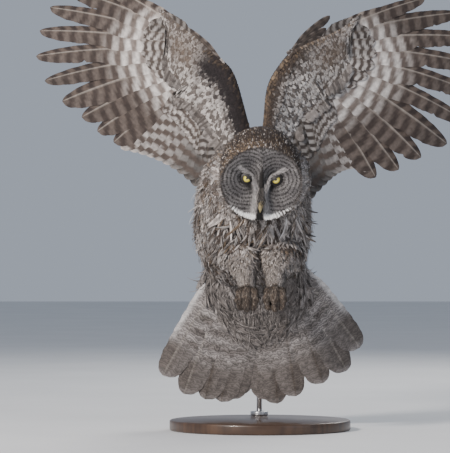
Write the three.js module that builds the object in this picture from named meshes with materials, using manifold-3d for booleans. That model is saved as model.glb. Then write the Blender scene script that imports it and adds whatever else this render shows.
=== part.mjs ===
// Great grey owl braking in flight, life size, held by a plain display stand. Millimetres, +Z up.
// The bird faces -Y. Left and right are the bird's own, so its right wing is on the -X side.
// The origin is the middle of the stand's underside.
// A wing is laid out in its own pair of coordinates: outward from the body's middle plane, and up.

import * as THREE from 'three';
import Module from 'manifold-3d';

const wasm = await Module();
wasm.setup();

// Gap between two pieces that meet, and the thickness of one flight feather's vane
const CUT = 0.3;
const VANE = 1.4;
const DEGREE = Math.PI / 180;

// The stand: a round base, a collar and one straight rod that leans forward behind the tail
const BASE = { radius: 190, height: 22, edge: 4 };
const COLLAR = { radius: 19, height: 9, edge: 2 };
const ROD = { radius: 6, foot: [0, 150, BASE.height], top: [0, 24, 402] };

// Stations down the body: middle of the section, half width and half depth, coat included
const TRUNK = [
  { at: [-4, -136, 568], wide: 62, deep: 40 },
  { at: [-8, -118, 542], wide: 106, deep: 80 },
  { at: [-13, -93, 500], wide: 122, deep: 97 },
  { at: [-16, -66, 455], wide: 128, deep: 101 },
  { at: [-16, -40, 412], wide: 128, deep: 97 },
  { at: [-12, -16, 370], wide: 119, deep: 82 },
  { at: [-10, 0, 336], wide: 104, deep: 58 },
  { at: [-8, 8, 312], wide: 66, deep: 30 },
];
const NECK = [
  { at: [-6, -86, 528], wide: 84, deep: 70 },
  { at: [-5, -118, 528], wide: 112, deep: 92 },
  { at: [-3, -150, 527], wide: 106, deep: 97 },
  { at: [-2, -182, 526], wide: 94, deep: 92 },
];

// The head turns about its middle: bill down, face a little to its left, crown to its left
const HEAD = { middle: [-2, -178, 532], pitch: 12, yaw: 3, roll: 2.5 };
// Sections of the head along its own forward axis: half width, half height, height of the middle
const SKULL = [
  { forward: -84, wide: 12, high: 14, middle: 12 },
  { forward: -74, wide: 42, high: 46, middle: 12 },
  { forward: -52, wide: 68, high: 74, middle: 11 },
  { forward: -20, wide: 85, high: 93, middle: 9 },
  { forward: 8, wide: 89, high: 98, middle: 7 },
  { forward: 32, wide: 88, high: 93, middle: 3 },
  { forward: 50, wide: 84, high: 82, middle: -2 },
];
// The facial disc: its rim, the dish round each eye and the ridge that carries the bill
const FACE = { wide: 79, high: 71, middle: -5, forward: 58, rim: 5, dish: 9, dishSpread: 17 };
const RIDGE = { height: 11, halfWidth: 9, middle: -24, spread: 34 };
const EYE = { radius: 12.5, apart: 59, up: 3, forward: 41 };
const BILL_UPPER = [
  { at: [0, 62, -26], wide: 6.6, deep: 6 },
  { at: [0, 72, -36], wide: 6.8, deep: 7.5 },
  { at: [0, 77, -46], wide: 5.6, deep: 7 },
  { at: [0, 77, -55], wide: 3.4, deep: 4.6 },
  { at: [0, 73, -62], wide: 1.1, deep: 1.3 },
];
const BILL_LOWER = [
  { at: [0, 60, -49], wide: 5, deep: 3.5 },
  { at: [0, 65, -54], wide: 4.2, deep: 3 },
  { at: [0, 69, -58.5], wide: 1.8, deep: 1.2 },
];

// One leg, given for the left side: thigh, feathered tarsus, palm, and toes that curl into a fist
const THIGH = [
  { at: [44, -66, 392], wide: 34, deep: 38 },
  { at: [42, -98, 376], wide: 42, deep: 42 },
  { at: [36, -132, 354], wide: 33, deep: 33 },
  { at: [32, -152, 338], wide: 26, deep: 26 },
];
const TARSUS = [
  { at: [34, -140, 348], wide: 24, deep: 24 },
  { at: [31, -160, 330], wide: 25, deep: 24 },
  { at: [29, -178, 311], wide: 21, deep: 20 },
  { at: [28, -190, 297], wide: 17, deep: 16 },
];
const FOOT_MIDDLE = { right: -28.6, left: 27.9 };
const PALM = [
  { at: [0, -182, 303], wide: 12, deep: 11 },
  { at: [0, -192, 290], wide: 19, deep: 14 },
  { at: [0, -194, 274], wide: 16, deep: 12 },
  { at: [0, -190, 264], wide: 8, deep: 6 },
];
const TOE = {
  thick: 11.2,
  end: 7,
  joint: 0.1,
  spread: { base: 0.7, bulge: 0.45 },
  curl: 21,
  turn: 140,
  knuckle: [-193, 279],
};
const TOES = [
  { across: -14.5, scale: 0.94 },
  { across: 0.5, scale: 1.06 },
  { across: 15, scale: 0.92 },
];
const HALLUX = { across: -12, scale: 0.8, knuckle: [-182, 279] };
const CLAW = { length: 26, thick: 4.6, tip: 0.8, turn: 85 };

// The tail: twelve feathers that spread from the rump, with the fan more open on its left
const TAIL = {
  root: [0, 6, 338],
  rootStep: [12, 6],
  slope: 19,
  cup: { right: 0.00042, left: -0.0009 },
  layer: 1.5,
  width: 64,
  bow: 0.012,
  tips: {
    right: [[50, 70], [62, 60], [82, 54], [116, 60], [161, 72], [205, 112]],
    left: [[16, 58], [38, 50], [78, 66], [136, 94], [186, 120], [214, 170]],
  },
};
const RUMP = [
  { at: [-8, 2, 350], wide: 102, deep: 42 },
  { at: [-8, 14, 318], wide: 109, deep: 34 },
  { at: [-6, 28, 282], wide: 104, deep: 23 },
  { at: [-2, 42, 236], wide: 84, deep: 11 },
  { at: [2, 52, 204], wide: 50, deep: 4 },
];

// Reach of the ten primaries from the wrist, innermost first
const PRIMARY_REACH = [324, 347, 370, 406, 440, 455, 445, 425, 385, 322];
const PRIMARY = {
  width: 60,
  lastWidth: 48,
  fingerFrom: 0.52,
  finger: 0.68,
  outerWeb: 0.3,
  rootEdge: 0.62,
  rootSpan: 0.55,
};
const SECONDARY = {
  count: 13,
  width: 54,
  outerWeb: 0.36,
  elbowRate: 1.25,
  shoulderRate: 2.5,
  shoulderFrom: 1.9,
};
const COVERT_REACH = { arm: 0.6, hand: 0.44 };
const ARM_THICK = { root: 17, wrist: 13, tip: 4, edge: 1.2 };
const CAMBER = { height: 14, chord: 300 };
const FINGER_LIFT = { from: 180, spread: 400, height: 60 };
const BLIND = 1.7;
const ALULA = { count: 3, width: 19, step: 9, shorter: 0.8 };

// Each wing: points of its leading edge, wrist, elbow, and the line of the inner feathers' tips
const WINGS = {
  right: {
    side: -1,
    leading: [[6, 586], [24, 641], [45, 718], [61, 756], [90, 784]],
    handEdge: [[90, 784], [142, 832], [184, 868], [216, 888]],
    wrist: [88, 765],
    elbow: [120, 655],
    tips: [[296, 594], [182, 574], [88, 462]],
    front: -54,
    sweep: 33,
    firstAngle: 36,
    fanStep: 7.9,
    alula: { root: [84, 776], angle: 42, reach: 104 },
  },
  left: {
    side: 1,
    leading: [[0, 590], [6, 645], [15, 720], [42, 768], [71, 800]],
    handEdge: [[71, 800], [128, 826], [178, 852], [214, 874]],
    wrist: [68, 783],
    elbow: [98, 672],
    tips: [[232, 545], [176, 574], [98, 470]],
    front: -54,
    sweep: 22,
    firstAngle: 24.5,
    fanStep: 8.8,
    alula: { root: [64, 792], angle: 43, reach: 112 },
  },
};

const PLUMAGE = { color: 0x8b8276, roughness: 0.9, metalness: 0 };
const LOOKS = {
  trunk: PLUMAGE,
  face: { color: 0x8f8d8a, roughness: 0.9, metalness: 0 },
  legs: { color: 0xa39a8b, roughness: 0.9, metalness: 0 },
  toes: { color: 0x6f5f4d, roughness: 0.9, metalness: 0 },
  vanes: { color: 0x857a6e, roughness: 0.8, metalness: 0 },
  eye: { color: 0xd9c21f, roughness: 0.1, metalness: 0 },
  bill: { color: 0xb09a45, roughness: 0.4, metalness: 0 },
  claw: { color: 0x1d1a19, roughness: 0.35, metalness: 0 },
  wood: { color: 0x3a2a20, roughness: 0.5, metalness: 0 },
  steel: { color: 0x8d9094, roughness: 0.35, metalness: 1 },
};

const vector = ([x, y, z]) => new THREE.Vector3(x, y, z);
const mix = (a, b, t) => a + (b - a) * t;
const clamp01 = (t) => Math.min(1, Math.max(0, t));
const bell = (distance, spread) => Math.exp(-(distance * distance) / (2 * spread * spread));

/** Solid of a closed mesh whose triangles all turn the same way; flips them when they face inward. */
function solidOf(points, faces) {
  let volume = 0;
  for (const [a, b, c] of faces) {
    volume += points[a].dot(points[b].clone().cross(points[c]));
  }
  const outward = volume > 0 ? faces : faces.map(([a, b, c]) => [a, c, b]);
  return new wasm.Manifold(new wasm.Mesh({
    numProp: 3,
    vertProperties: new Float32Array(points.flatMap((p) => [p.x, p.y, p.z])),
    triVerts: new Uint32Array(outward.flat()),
  }));
}

/** Closed skin over a row of rings with equal numbers of points, each end closed by a fan. */
function loft(rings) {
  const count = rings[0].length;
  const points = rings.flat();
  const faces = [];
  for (let k = 0; k < rings.length - 1; k += 1) {
    for (let i = 0; i < count; i += 1) {
      const a = k * count + i;
      const b = k * count + ((i + 1) % count);
      faces.push([a, b, b + count], [a, b + count, a + count]);
    }
  }
  [0, rings.length - 1].forEach((k) => {
    const middle = new THREE.Vector3();
    rings[k].forEach((p) => middle.addScaledVector(p, 1 / count));
    const hub = points.push(middle) - 1;
    for (let i = 0; i < count; i += 1) {
      const a = k * count + i;
      const b = k * count + ((i + 1) % count);
      faces.push(k === 0 ? [b, a, hub] : [a, b, hub]);
    }
  });
  return solidOf(points, faces);
}

/** Rounded body through stations {at, wide, deep}; across is the direction of the half width. */
function sweep(stations, { rings = 12, corners = 20, grow = 0, across = [1, 0, 0], place } = {}) {
  const path = new THREE.CatmullRomCurve3(stations.map((s) => vector(s.at)));
  const sizes = new THREE.SplineCurve(stations.map((s) => new THREE.Vector2(s.wide, s.deep)));
  const side = vector(across);
  const made = [];
  for (let k = 0; k <= rings; k += 1) {
    const t = k / rings;
    const along = path.getTangent(t);
    const middle = path.getPoint(t);
    const size = sizes.getPoint(t);
    const depth = new THREE.Vector3().crossVectors(along, side).normalize();
    const width = new THREE.Vector3().crossVectors(depth, along).normalize();
    if (k === 0 || k === rings) middle.addScaledVector(along, k === 0 ? -grow : grow);
    const ring = [];
    for (let i = 0; i < corners; i += 1) {
      const angle = (2 * Math.PI * i) / corners;
      ring.push(middle.clone()
        .addScaledVector(width, (size.x + grow) * Math.cos(angle))
        .addScaledVector(depth, (size.y + grow) * Math.sin(angle)));
    }
    made.push(place ? ring.map(place) : ring);
  }
  return loft(made);
}

const joined = (solids) => solids.reduce((all, next) => all.add(next));
const without = (solid, ...others) => others.reduce((left, next) => left.subtract(next), solid);

/** The largest closed skin of a solid: loose chips and sealed pockets between vanes go. */
const whole = (solid) => (
  solid.decompose().reduce((best, next) => (next.volume() > best.volume() ? next : best)));

/** Half-space on the side of a plane that its normal points to, as one large box. */
function halfSpace(point, normal) {
  const reach = 1600;
  const box = new THREE.BoxGeometry(reach, reach, reach).toNonIndexed();
  const turn = new THREE.Quaternion().setFromUnitVectors(new THREE.Vector3(0, 0, 1), normal);
  const place = box.getAttribute('position');
  const points = [];
  const faces = [];
  const seen = new Map();
  const corner = (i) => {
    const p = new THREE.Vector3().fromBufferAttribute(place, i);
    const key = p.toArray().join();
    if (!seen.has(key)) {
      p.z += reach / 2;
      seen.set(key, points.push(p.applyQuaternion(turn).add(point)) - 1);
    }
    return seen.get(key);
  };
  for (let i = 0; i < place.count; i += 3) {
    faces.push([corner(i), corner(i + 1), corner(i + 2)]);
  }
  return solidOf(points, faces);
}

// The head

/** Moves a point from the head's own axes (right, forward, up) to the model's. */
function inHead(point) {
  const placed = new THREE.Vector3(point.x, -point.y, point.z);
  const turn = new THREE.Euler(HEAD.pitch * DEGREE, -HEAD.roll * -DEGREE, HEAD.yaw * DEGREE, 'ZYX');
  return placed.applyEuler(turn).add(vector(HEAD.middle));
}

/** How far forward the face lies at a place on it, in the head's own axes. */
function faceForward(right, up) {
  const reach = Math.hypot(right / FACE.wide, (up - FACE.middle) / FACE.high);
  const fromEye = Math.hypot(Math.abs(right) - EYE.apart / 2, up - EYE.up);
  return FACE.forward + FACE.rim * reach * reach
    - FACE.dish * bell(fromEye, FACE.dishSpread)
    + RIDGE.height * bell(right, RIDGE.halfWidth) * bell(up - RIDGE.middle, RIDGE.spread);
}

function headSolid(grow = 0) {
  const corners = 24;
  const faceRings = [1, 0.8, 0.6, 0.4, 0.2];
  const oval = (wide, high, middle, forward) => {
    const ring = [];
    for (let i = 0; i < corners; i += 1) {
      const angle = (2 * Math.PI * i) / corners;
      const right = wide * Math.cos(angle);
      const up = middle + high * Math.sin(angle);
      ring.push(inHead(new THREE.Vector3(right, forward ?? faceForward(right, up) + grow, up)));
    }
    return ring;
  };
  const skull = SKULL.map((s, k) => (
    oval(s.wide + grow, s.high + grow, s.middle, k === 0 ? s.forward - grow : s.forward)));
  const face = faceRings.map((share) => (
    oval((FACE.wide + grow) * share, (FACE.high + grow) * share, FACE.middle)));
  return loft([...skull, ...face]);
}

function eyeSolid(side, grow = 0) {
  const radius = EYE.radius + grow;
  const rings = 6;
  const made = [];
  for (let k = 1; k < rings; k += 1) {
    const polar = (Math.PI * k) / rings;
    const ring = [];
    for (let i = 0; i < 2 * rings; i += 1) {
      const around = (Math.PI * i) / rings;
      ring.push(inHead(new THREE.Vector3(
        (side * EYE.apart) / 2 + radius * Math.sin(polar) * Math.cos(around),
        EYE.forward + radius * Math.cos(polar),
        EYE.up + radius * Math.sin(polar) * Math.sin(around),
      )));
    }
    made.push(ring);
  }
  return loft(made);
}

const billSolid = (stations, grow = 0) => (
  sweep(stations, { rings: 5, corners: 8, grow, place: inHead }));

// Legs and feet

const mirrored = (stations, side) => (
  stations.map((s) => ({ ...s, at: [side * s.at[0], s.at[1], s.at[2]] })));

/** Stations round the curl of a toe in its own upright plane, from the knuckle to the claw. */
function toeStations(toe, footX, side) {
  const knuckle = toe.knuckle ?? TOE.knuckle;
  const back = toe.knuckle ? -1 : 1;
  const stations = [];
  for (let k = 0; k <= 6; k += 1) {
    const angle = (70 - (TOE.turn * k) / 6) * DEGREE;
    const spread = TOE.spread.base + TOE.spread.bulge * Math.sin((Math.PI * k) / 6);
    const reach = TOE.curl * toe.scale * (0.78 + 0.22 * Math.cos(angle));
    const thick = mix(TOE.thick, TOE.end, k / 6) * toe.scale * (1 + TOE.joint * (k % 2 ? 1 : -1));
    stations.push({
      at: [
        footX + side * toe.across * spread,
        knuckle[0] - back * reach * Math.cos(angle),
        knuckle[1] + reach * 1.15 * Math.sin(angle),
      ],
      wide: thick,
      deep: thick,
    });
  }
  return stations;
}

/** Stations of the claw that carries on from a toe's end and hooks on round the same way. */
function clawStations(toe) {
  const end = vector(toe[toe.length - 1].at);
  const run = end.clone().sub(vector(toe[toe.length - 2].at)).normalize();
  const inward = new THREE.Vector3(0, -run.z, run.y);
  const middle = vector(toe[0].at).lerp(vector(toe[3].at), 0.5);
  if (inward.dot(middle.clone().sub(end)) < 0) inward.negate();
  const radius = CLAW.length / (CLAW.turn * DEGREE);
  const stations = [];
  for (let k = -1; k <= 5; k += 1) {
    const angle = (CLAW.turn * DEGREE * k) / 5;
    const place = end.clone()
      .addScaledVector(run, radius * Math.sin(angle))
      .addScaledVector(inward, radius * (1 - Math.cos(angle)));
    const thick = mix(CLAW.thick, CLAW.tip, Math.max(0, k) / 5);
    stations.push({ at: place.toArray(), wide: thick * 0.85, deep: thick });
  }
  return stations;
}

function footPieces(name, side) {
  const x = FOOT_MIDDLE[name];
  const toes = [...TOES, HALLUX].map((toe) => toeStations(toe, x, side));
  const palm = PALM.map((s) => ({ ...s, at: [x, s.at[1], s.at[2]] }));
  const foot = (grow) => joined([
    sweep(palm, { rings: 3, corners: 8, grow }),
    ...toes.map((toe) => sweep(toe, { rings: 5, corners: 6, grow })),
  ]);
  const claw = (k, grow) => sweep(clawStations(toes[k]), { rings: 5, corners: 6, grow });
  return { foot, claw };
}

// Wings

/** Functions that place a wing's points: depth behind the leading edge, and the model's place. */
function wingFrame(wing) {
  const [root, , , , wristEdge] = wing.leading;
  const edge = new THREE.Vector2(wristEdge[0] - root[0], wristEdge[1] - root[1]).normalize();
  const behindEdge = (out, up) => (out - root[0]) * edge.y - (up - root[1]) * edge.x;
  const depth = (out, up) => {
    const chord = behindEdge(out, up);
    const share = clamp01(chord / CAMBER.chord);
    const fromWrist = Math.hypot(out - wing.wrist[0], up - wing.wrist[1]);
    const lifted = Math.max(0, fromWrist - FINGER_LIFT.from) / FINGER_LIFT.spread;
    return wing.front + Math.tan(wing.sweep * DEGREE) * chord
      + 4 * CAMBER.height * share * (1 - share) + FINGER_LIFT.height * lifted * lifted;
  };
  const place = (out, up, off = 0) => (
    new THREE.Vector3(wing.side * out, depth(out, up) + off, up));
  return { depth, place, behindEdge };
}

/** Flattened body between a leading and a trailing line, blunt in front and thin behind. */
function foil(frame, leading, trailing, thickness, stationCount, grow = 0) {
  const around = 5;
  const rings = [];
  for (let k = 0; k <= stationCount; k += 1) {
    const u = k / stationCount;
    const nose = leading(u);
    const tail = trailing(u);
    const thick = thickness(u);
    const ring = [];
    const add = (share, face) => {
      const bulge = thick * Math.sqrt(share) * (1 - share) * 2.1 + ARM_THICK.edge + grow;
      const at = nose.clone().lerp(tail, share);
      ring.push(frame.place(at.x, at.y, face * bulge));
    };
    for (let i = 0; i <= around; i += 1) add((i / around) ** 1.6, -1);
    for (let i = around; i >= 0; i -= 1) add((i / around) ** 1.6, 1);
    rings.push(ring);
  }
  return loft(rings);
}

/** Thin vane from root to tip; lead is the share of its width on the leading side of the shaft. */
function vane(frame, { root, tip, width, lead, profile, blind = BLIND, bow = 0.03, layer = 0, grow = 0 }) {
  const stations = [0, 0.25, 0.62, 0.9, 1];
  const run = tip.clone().sub(root);
  const leadward = new THREE.Vector2(-run.y, run.x).normalize();
  const rings = stations.map((t) => {
    const middle = root.clone().addScaledVector(run, t)
      .addScaledVector(leadward, 4 * bow * run.length() * t * (1 - t));
    const half = width * profile(t) + 2 * grow;
    const leading = middle.clone().addScaledVector(leadward, half * lead);
    const trailing = middle.clone().addScaledVector(leadward, -half * (1 - lead));
    const off = VANE / 2 + grow;
    return [
      frame.place(leading.x, leading.y, layer + blind - off),
      frame.place(trailing.x, trailing.y, layer - blind - off),
      frame.place(trailing.x, trailing.y, layer - blind + off),
      frame.place(leading.x, leading.y, layer + blind + off),
    ];
  });
  return loft(rings);
}

/** Share of full width along a feather: narrow quill, broad middle, round tip. */
const roundTip = (t) => Math.min(0.35 + 2 * t, 1) * Math.sqrt(Math.max(0.02, 1 - t ** 6));

/** Share of full width along a tail feather, whose end is blunt. */
const bluntTip = (t) => Math.min(0.35 + 2 * t, 1) * Math.sqrt(Math.max(0.05, 1 - t ** 14));

/** Share of full width along an outer primary, whose end narrows to a finger. */
function fingerTip(t) {
  const narrowed = clamp01((t - PRIMARY.fingerFrom + 0.12) / 0.24);
  return roundTip(t) * mix(1, PRIMARY.finger, narrowed);
}

const at2 = ([out, up]) => new THREE.Vector2(out, up);
const spline2 = (points) => new THREE.SplineCurve(points.map(at2));

/** Length in the layout that shows for a real length along a direction of the sloping wing. */
function shown(wing, frame, length, direction) {
  const base = at2(wing.wrist);
  const rise = (frame.behindEdge(base.x + direction.x, base.y + direction.y)
    - frame.behindEdge(base.x, base.y)) * Math.tan(wing.sweep * DEGREE);
  return length / Math.hypot(1, rise);
}

function wingPieces(wing) {
  const frame = wingFrame(wing);
  const wrist = at2(wing.wrist);
  const elbow = at2(wing.elbow);
  const armEdge = spline2(wing.leading);
  const handEdge = spline2(wing.handEdge);
  const [tipA, tipB, tipC] = wing.tips.map(at2);
  const tipLine = new THREE.QuadraticBezierCurve(tipA, tipB, tipC);
  const direction = (angle) => (
    new THREE.Vector2(Math.cos(angle * DEGREE), Math.sin(angle * DEGREE)));
  const angleOf = (number) => wing.firstAngle - wing.fanStep * (10 - number);
  const reachAt = (number) => {
    const low = Math.min(9, Math.max(1, Math.floor(number)));
    const length = mix(PRIMARY_REACH[low - 1], PRIMARY_REACH[low], number - low);
    return shown(wing, frame, length, direction(angleOf(number)));
  };

  const arm = foil(
    frame,
    (u) => armEdge.getPoint(u),
    (u) => armEdge.getPoint(u).lerp(tipLine.getPoint(1 - u), COVERT_REACH.arm),
    (u) => mix(ARM_THICK.root, ARM_THICK.wrist, u),
    5,
  );
  const coverEdge = (u) => {
    const number = mix(0.5, 10, u);
    const edge = wrist.clone().addScaledVector(
      direction(angleOf(number)),
      COVERT_REACH.hand * reachAt(number),
    );
    return edge.lerp(arm0End, Math.max(0, 1 - 5 * u));
  };
  const arm0End = armEdge.getPoint(1).lerp(tipLine.getPoint(0), COVERT_REACH.arm);
  const palm = (grow) => foil(
    frame,
    (u) => handEdge.getPoint(u),
    (u) => coverEdge(u).lerp(handEdge.getPoint(1), u ** 4 * 0.6),
    (u) => mix(ARM_THICK.wrist, ARM_THICK.tip, u),
    6,
    grow,
  );

  const primaries = (grow) => PRIMARY_REACH.map((_, i) => {
    const number = i + 1;
    const along = direction(angleOf(number));
    const spread = (i / (PRIMARY_REACH.length - 1)) * PRIMARY.rootSpan;
    const root = wrist.clone().lerp(handEdge.getPoint(PRIMARY.rootEdge), spread);
    return vane(frame, {
      root,
      tip: wrist.clone().addScaledVector(along, reachAt(number)),
      width: number === 10 ? PRIMARY.lastWidth : PRIMARY.width,
      lead: PRIMARY.outerWeb,
      profile: number > 4 ? fingerTip : roundTip,
      grow,
    });
  });
  const hand = (grow) => joined([palm(grow), ...primaries(grow)]);

  const secondaries = [];
  for (let j = 0; j < SECONDARY.count; j += 1) {
    const share = j / (SECONDARY.count - 1);
    const root = wrist.clone().lerp(elbow, Math.min(1, share * SECONDARY.elbowRate));
    const toBody = clamp01(share * SECONDARY.shoulderRate - SECONDARY.shoulderFrom);
    root.lerp(armEdge.getPoint(0.1), toBody);
    secondaries.push(vane(frame, {
      root,
      tip: tipLine.getPoint(share),
      width: SECONDARY.width,
      lead: SECONDARY.outerWeb,
      profile: roundTip,
    }));
  }

  // The thin cut between arm and hand runs from the leading edge to between the two fans' tips
  const lastPrimary = wrist.clone().addScaledVector(direction(angleOf(1)), reachAt(1));
  const between = lastPrimary.lerp(tipLine.getPoint(0), 0.5);
  const cutStart = armEdge.getPoint(1);
  const line = between.clone().sub(cutStart).normalize();
  const handward = new THREE.Vector3(wing.side * -line.y, 0, line.x);
  const cutPoint = new THREE.Vector3(wing.side * cutStart.x, 0, cutStart.y);
  const handSide = halfSpace(cutPoint.clone().addScaledVector(handward, CUT / 2), handward);
  const armSide = halfSpace(
    cutPoint.clone().addScaledVector(handward, -CUT / 2),
    handward.clone().negate(),
  );

  const alulaRoot = at2(wing.alula.root);
  const alula = [];
  for (let k = 0; k < ALULA.count; k += 1) {
    alula.push(vane(frame, {
      root: alulaRoot,
      tip: alulaRoot.clone().addScaledVector(
        direction(wing.alula.angle - k * ALULA.step),
        wing.alula.reach * ALULA.shorter ** k,
      ),
      width: ALULA.width,
      lead: 0.4,
      profile: roundTip,
      blind: 0,
      layer: -k * 0.8,
    }));
  }
  return {
    arm: joined([arm, ...secondaries]).intersect(armSide),
    hand: hand(0).intersect(handSide),
    alula: joined(alula).intersect(handSide).subtract(hand(CUT)),
  };
}

// Tail

const rumpSolid = (grow = 0) => sweep(RUMP, { rings: 5, corners: 14, grow });

function tailPieces() {
  const [rootX, rootY, rootZ] = TAIL.root;
  const feathers = [];
  Object.entries(TAIL.tips).forEach(([name, tips]) => {
    const side = name === 'left' ? 1 : -1;
    const place = (out, z, off = 0) => new THREE.Vector3(
      side * out,
      rootY + (rootZ - z) * Math.tan(TAIL.slope * DEGREE) - TAIL.cup[name] * out * out + off,
      z,
    );
    tips.forEach(([tipOut, tipUp], k) => {
      const [outward, upward] = TAIL.rootStep;
      feathers.push(vane({ place }, {
        root: new THREE.Vector2(rootX + k * outward, rootZ - 10 + k * upward),
        tip: new THREE.Vector2(tipOut, tipUp),
        width: TAIL.width,
        lead: 0.4,
        profile: bluntTip,
        blind: 0.5,
        bow: TAIL.bow,
        layer: -TAIL.layer * (k + (side < 0 ? 0.5 : 0)),
      }));
    });
  });
  return joined([...feathers, rumpSolid()]);
}

// Stand

/** Round solid about an upright axis from a profile of [radius, height] points. */
function turned(profile, x, y) {
  const segments = 28;
  const points = profile.map(([radius, height]) => new THREE.Vector2(radius, height));
  const lathe = new THREE.LatheGeometry(points, segments);
  const place = lathe.getAttribute('position');
  const corners = [];
  const seen = new Map();
  const index = lathe.getIndex();
  const corner = (i) => {
    const p = new THREE.Vector3().fromBufferAttribute(place, i);
    const put = new THREE.Vector3(x + p.x, y - p.z, p.y);
    const key = put.toArray().map((n) => Math.round(n * 1000)).join();
    if (!seen.has(key)) seen.set(key, corners.push(put) - 1);
    return seen.get(key);
  };
  const faces = [];
  for (let i = 0; i < index.count; i += 3) {
    const face = [corner(index.getX(i)), corner(index.getX(i + 1)), corner(index.getX(i + 2))];
    if (new Set(face).size === 3) faces.push(face);
  }
  return solidOf(corners, faces);
}

const roundedDisc = ({ radius, height, edge }, low) => [
  [0, low],
  [radius - edge / 2, low],
  [radius, low + edge / 2],
  [radius, low + height - edge],
  [radius - edge * 0.3, low + height - edge * 0.3],
  [radius - edge, low + height],
  [0, low + height],
];

function rodSolid(grow = 0) {
  const stations = [ROD.foot, ROD.top].map((at) => (
    { at, wide: ROD.radius, deep: ROD.radius }));
  return sweep(stations, { rings: 1, corners: 16, grow });
}

// The pieces, each kept clear of those before it by the cut

const eyes = { right: eyeSolid(-1), left: eyeSolid(1) };
const billUpper = billSolid(BILL_UPPER);
const billLower = billSolid(BILL_LOWER);
const trunkSolid = (grow = 0) => sweep(TRUNK, { rings: 11, corners: 22, grow });
const neckSolid = (grow = 0) => sweep(NECK, { rings: 4, corners: 22, grow });
const trunkGrown = trunkSolid(CUT);
const neckGrown = neckSolid(CUT);
const headGrown = headSolid(CUT);
const rumpGrown = rumpSolid(CUT);

const group = new THREE.Group();

/** Adds a solid to the model as one named mesh. */
function addNode(name, solid, look) {
  const { vertProperties, triVerts } = whole(solid).getMesh();
  const geometry = new THREE.BufferGeometry();
  geometry.setAttribute('position', new THREE.BufferAttribute(vertProperties, 3));
  geometry.setIndex(new THREE.BufferAttribute(triVerts, 1));
  geometry.computeVertexNormals();
  const mesh = new THREE.Mesh(geometry, new THREE.MeshStandardMaterial(look));
  mesh.name = name;
  group.add(mesh);
}

addNode('head', without(
  headSolid(),
  eyeSolid(-1, CUT),
  eyeSolid(1, CUT),
  billSolid(BILL_UPPER, CUT),
  billSolid(BILL_LOWER, CUT),
), LOOKS.face);
addNode('eye_right', eyes.right, LOOKS.eye);
addNode('eye_left', eyes.left, LOOKS.eye);
addNode('bill_upper', billUpper, LOOKS.bill);
addNode('bill_lower', without(billLower, billSolid(BILL_UPPER, CUT)), LOOKS.bill);
addNode('neck', without(neckSolid(), headGrown), LOOKS.trunk);
addNode('trunk', without(
  trunkSolid(),
  neckGrown,
  headGrown,
), LOOKS.trunk);

['right', 'left'].forEach((name) => {
  const side = name === 'left' ? 1 : -1;
  const thigh = (grow) => sweep(mirrored(THIGH, side), { rings: 4, corners: 12, grow });
  const tarsus = (grow) => sweep(mirrored(TARSUS, side), { rings: 4, corners: 10, grow });
  const { foot, claw } = footPieces(name, side);
  addNode(`thigh_${name}`, without(thigh(0), trunkGrown), LOOKS.legs);
  addNode(`tarsus_${name}`, without(tarsus(0), thigh(CUT), trunkGrown), LOOKS.legs);
  addNode(`foot_${name}`, without(foot(0), tarsus(CUT)), LOOKS.toes);
  [0, 1, 2, 3].forEach((k) => {
    const others = [0, 1, 2].filter((before) => before < k).map((before) => claw(before, CUT));
    const cut = without(claw(k, 0), foot(CUT), tarsus(CUT), ...others);
    addNode(`claw_${name}_${k + 1}`, cut, LOOKS.claw);
  });
  const { arm, hand, alula } = wingPieces(WINGS[name]);
  addNode(`wing_${name}_arm`, without(arm, trunkGrown, neckGrown, headGrown), LOOKS.vanes);
  addNode(`wing_${name}_hand`, hand, LOOKS.vanes);
  addNode(`wing_${name}_alula`, alula, LOOKS.vanes);
});

addNode('tail', without(tailPieces(), trunkGrown), LOOKS.vanes);
addNode('stand_base', turned(roundedDisc(BASE, 0), 0, 0), LOOKS.wood);
addNode('stand_collar', without(
  turned(roundedDisc(COLLAR, BASE.height + CUT), ROD.foot[0], ROD.foot[1]),
  rodSolid(CUT),
), LOOKS.steel);
const baseGrown = turned(roundedDisc({ ...BASE, height: BASE.height + CUT }, 0), 0, 0);
addNode('stand_rod', without(rodSolid(), trunkGrown, rumpGrown, baseGrown), LOOKS.steel);

export default group;
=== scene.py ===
"""Great grey owl braking in flight on a display stand: skin, plumage, eyes, bill, claws and stand.

Shapes are laid out in millimetres, as on a maker's drawing, and scaled to metres when a mesh is made.
The bird faces -Y. Left and right are the bird's own, so its right wing is on the -X side.
"""

import logging
import math
from dataclasses import dataclass, field
from enum import Enum
from typing import Callable, Sequence

import bmesh
import bpy
import numpy as np
from mathutils import Matrix, Vector
from mathutils.bvhtree import BVHTree
from mathutils.kdtree import KDTree


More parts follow.
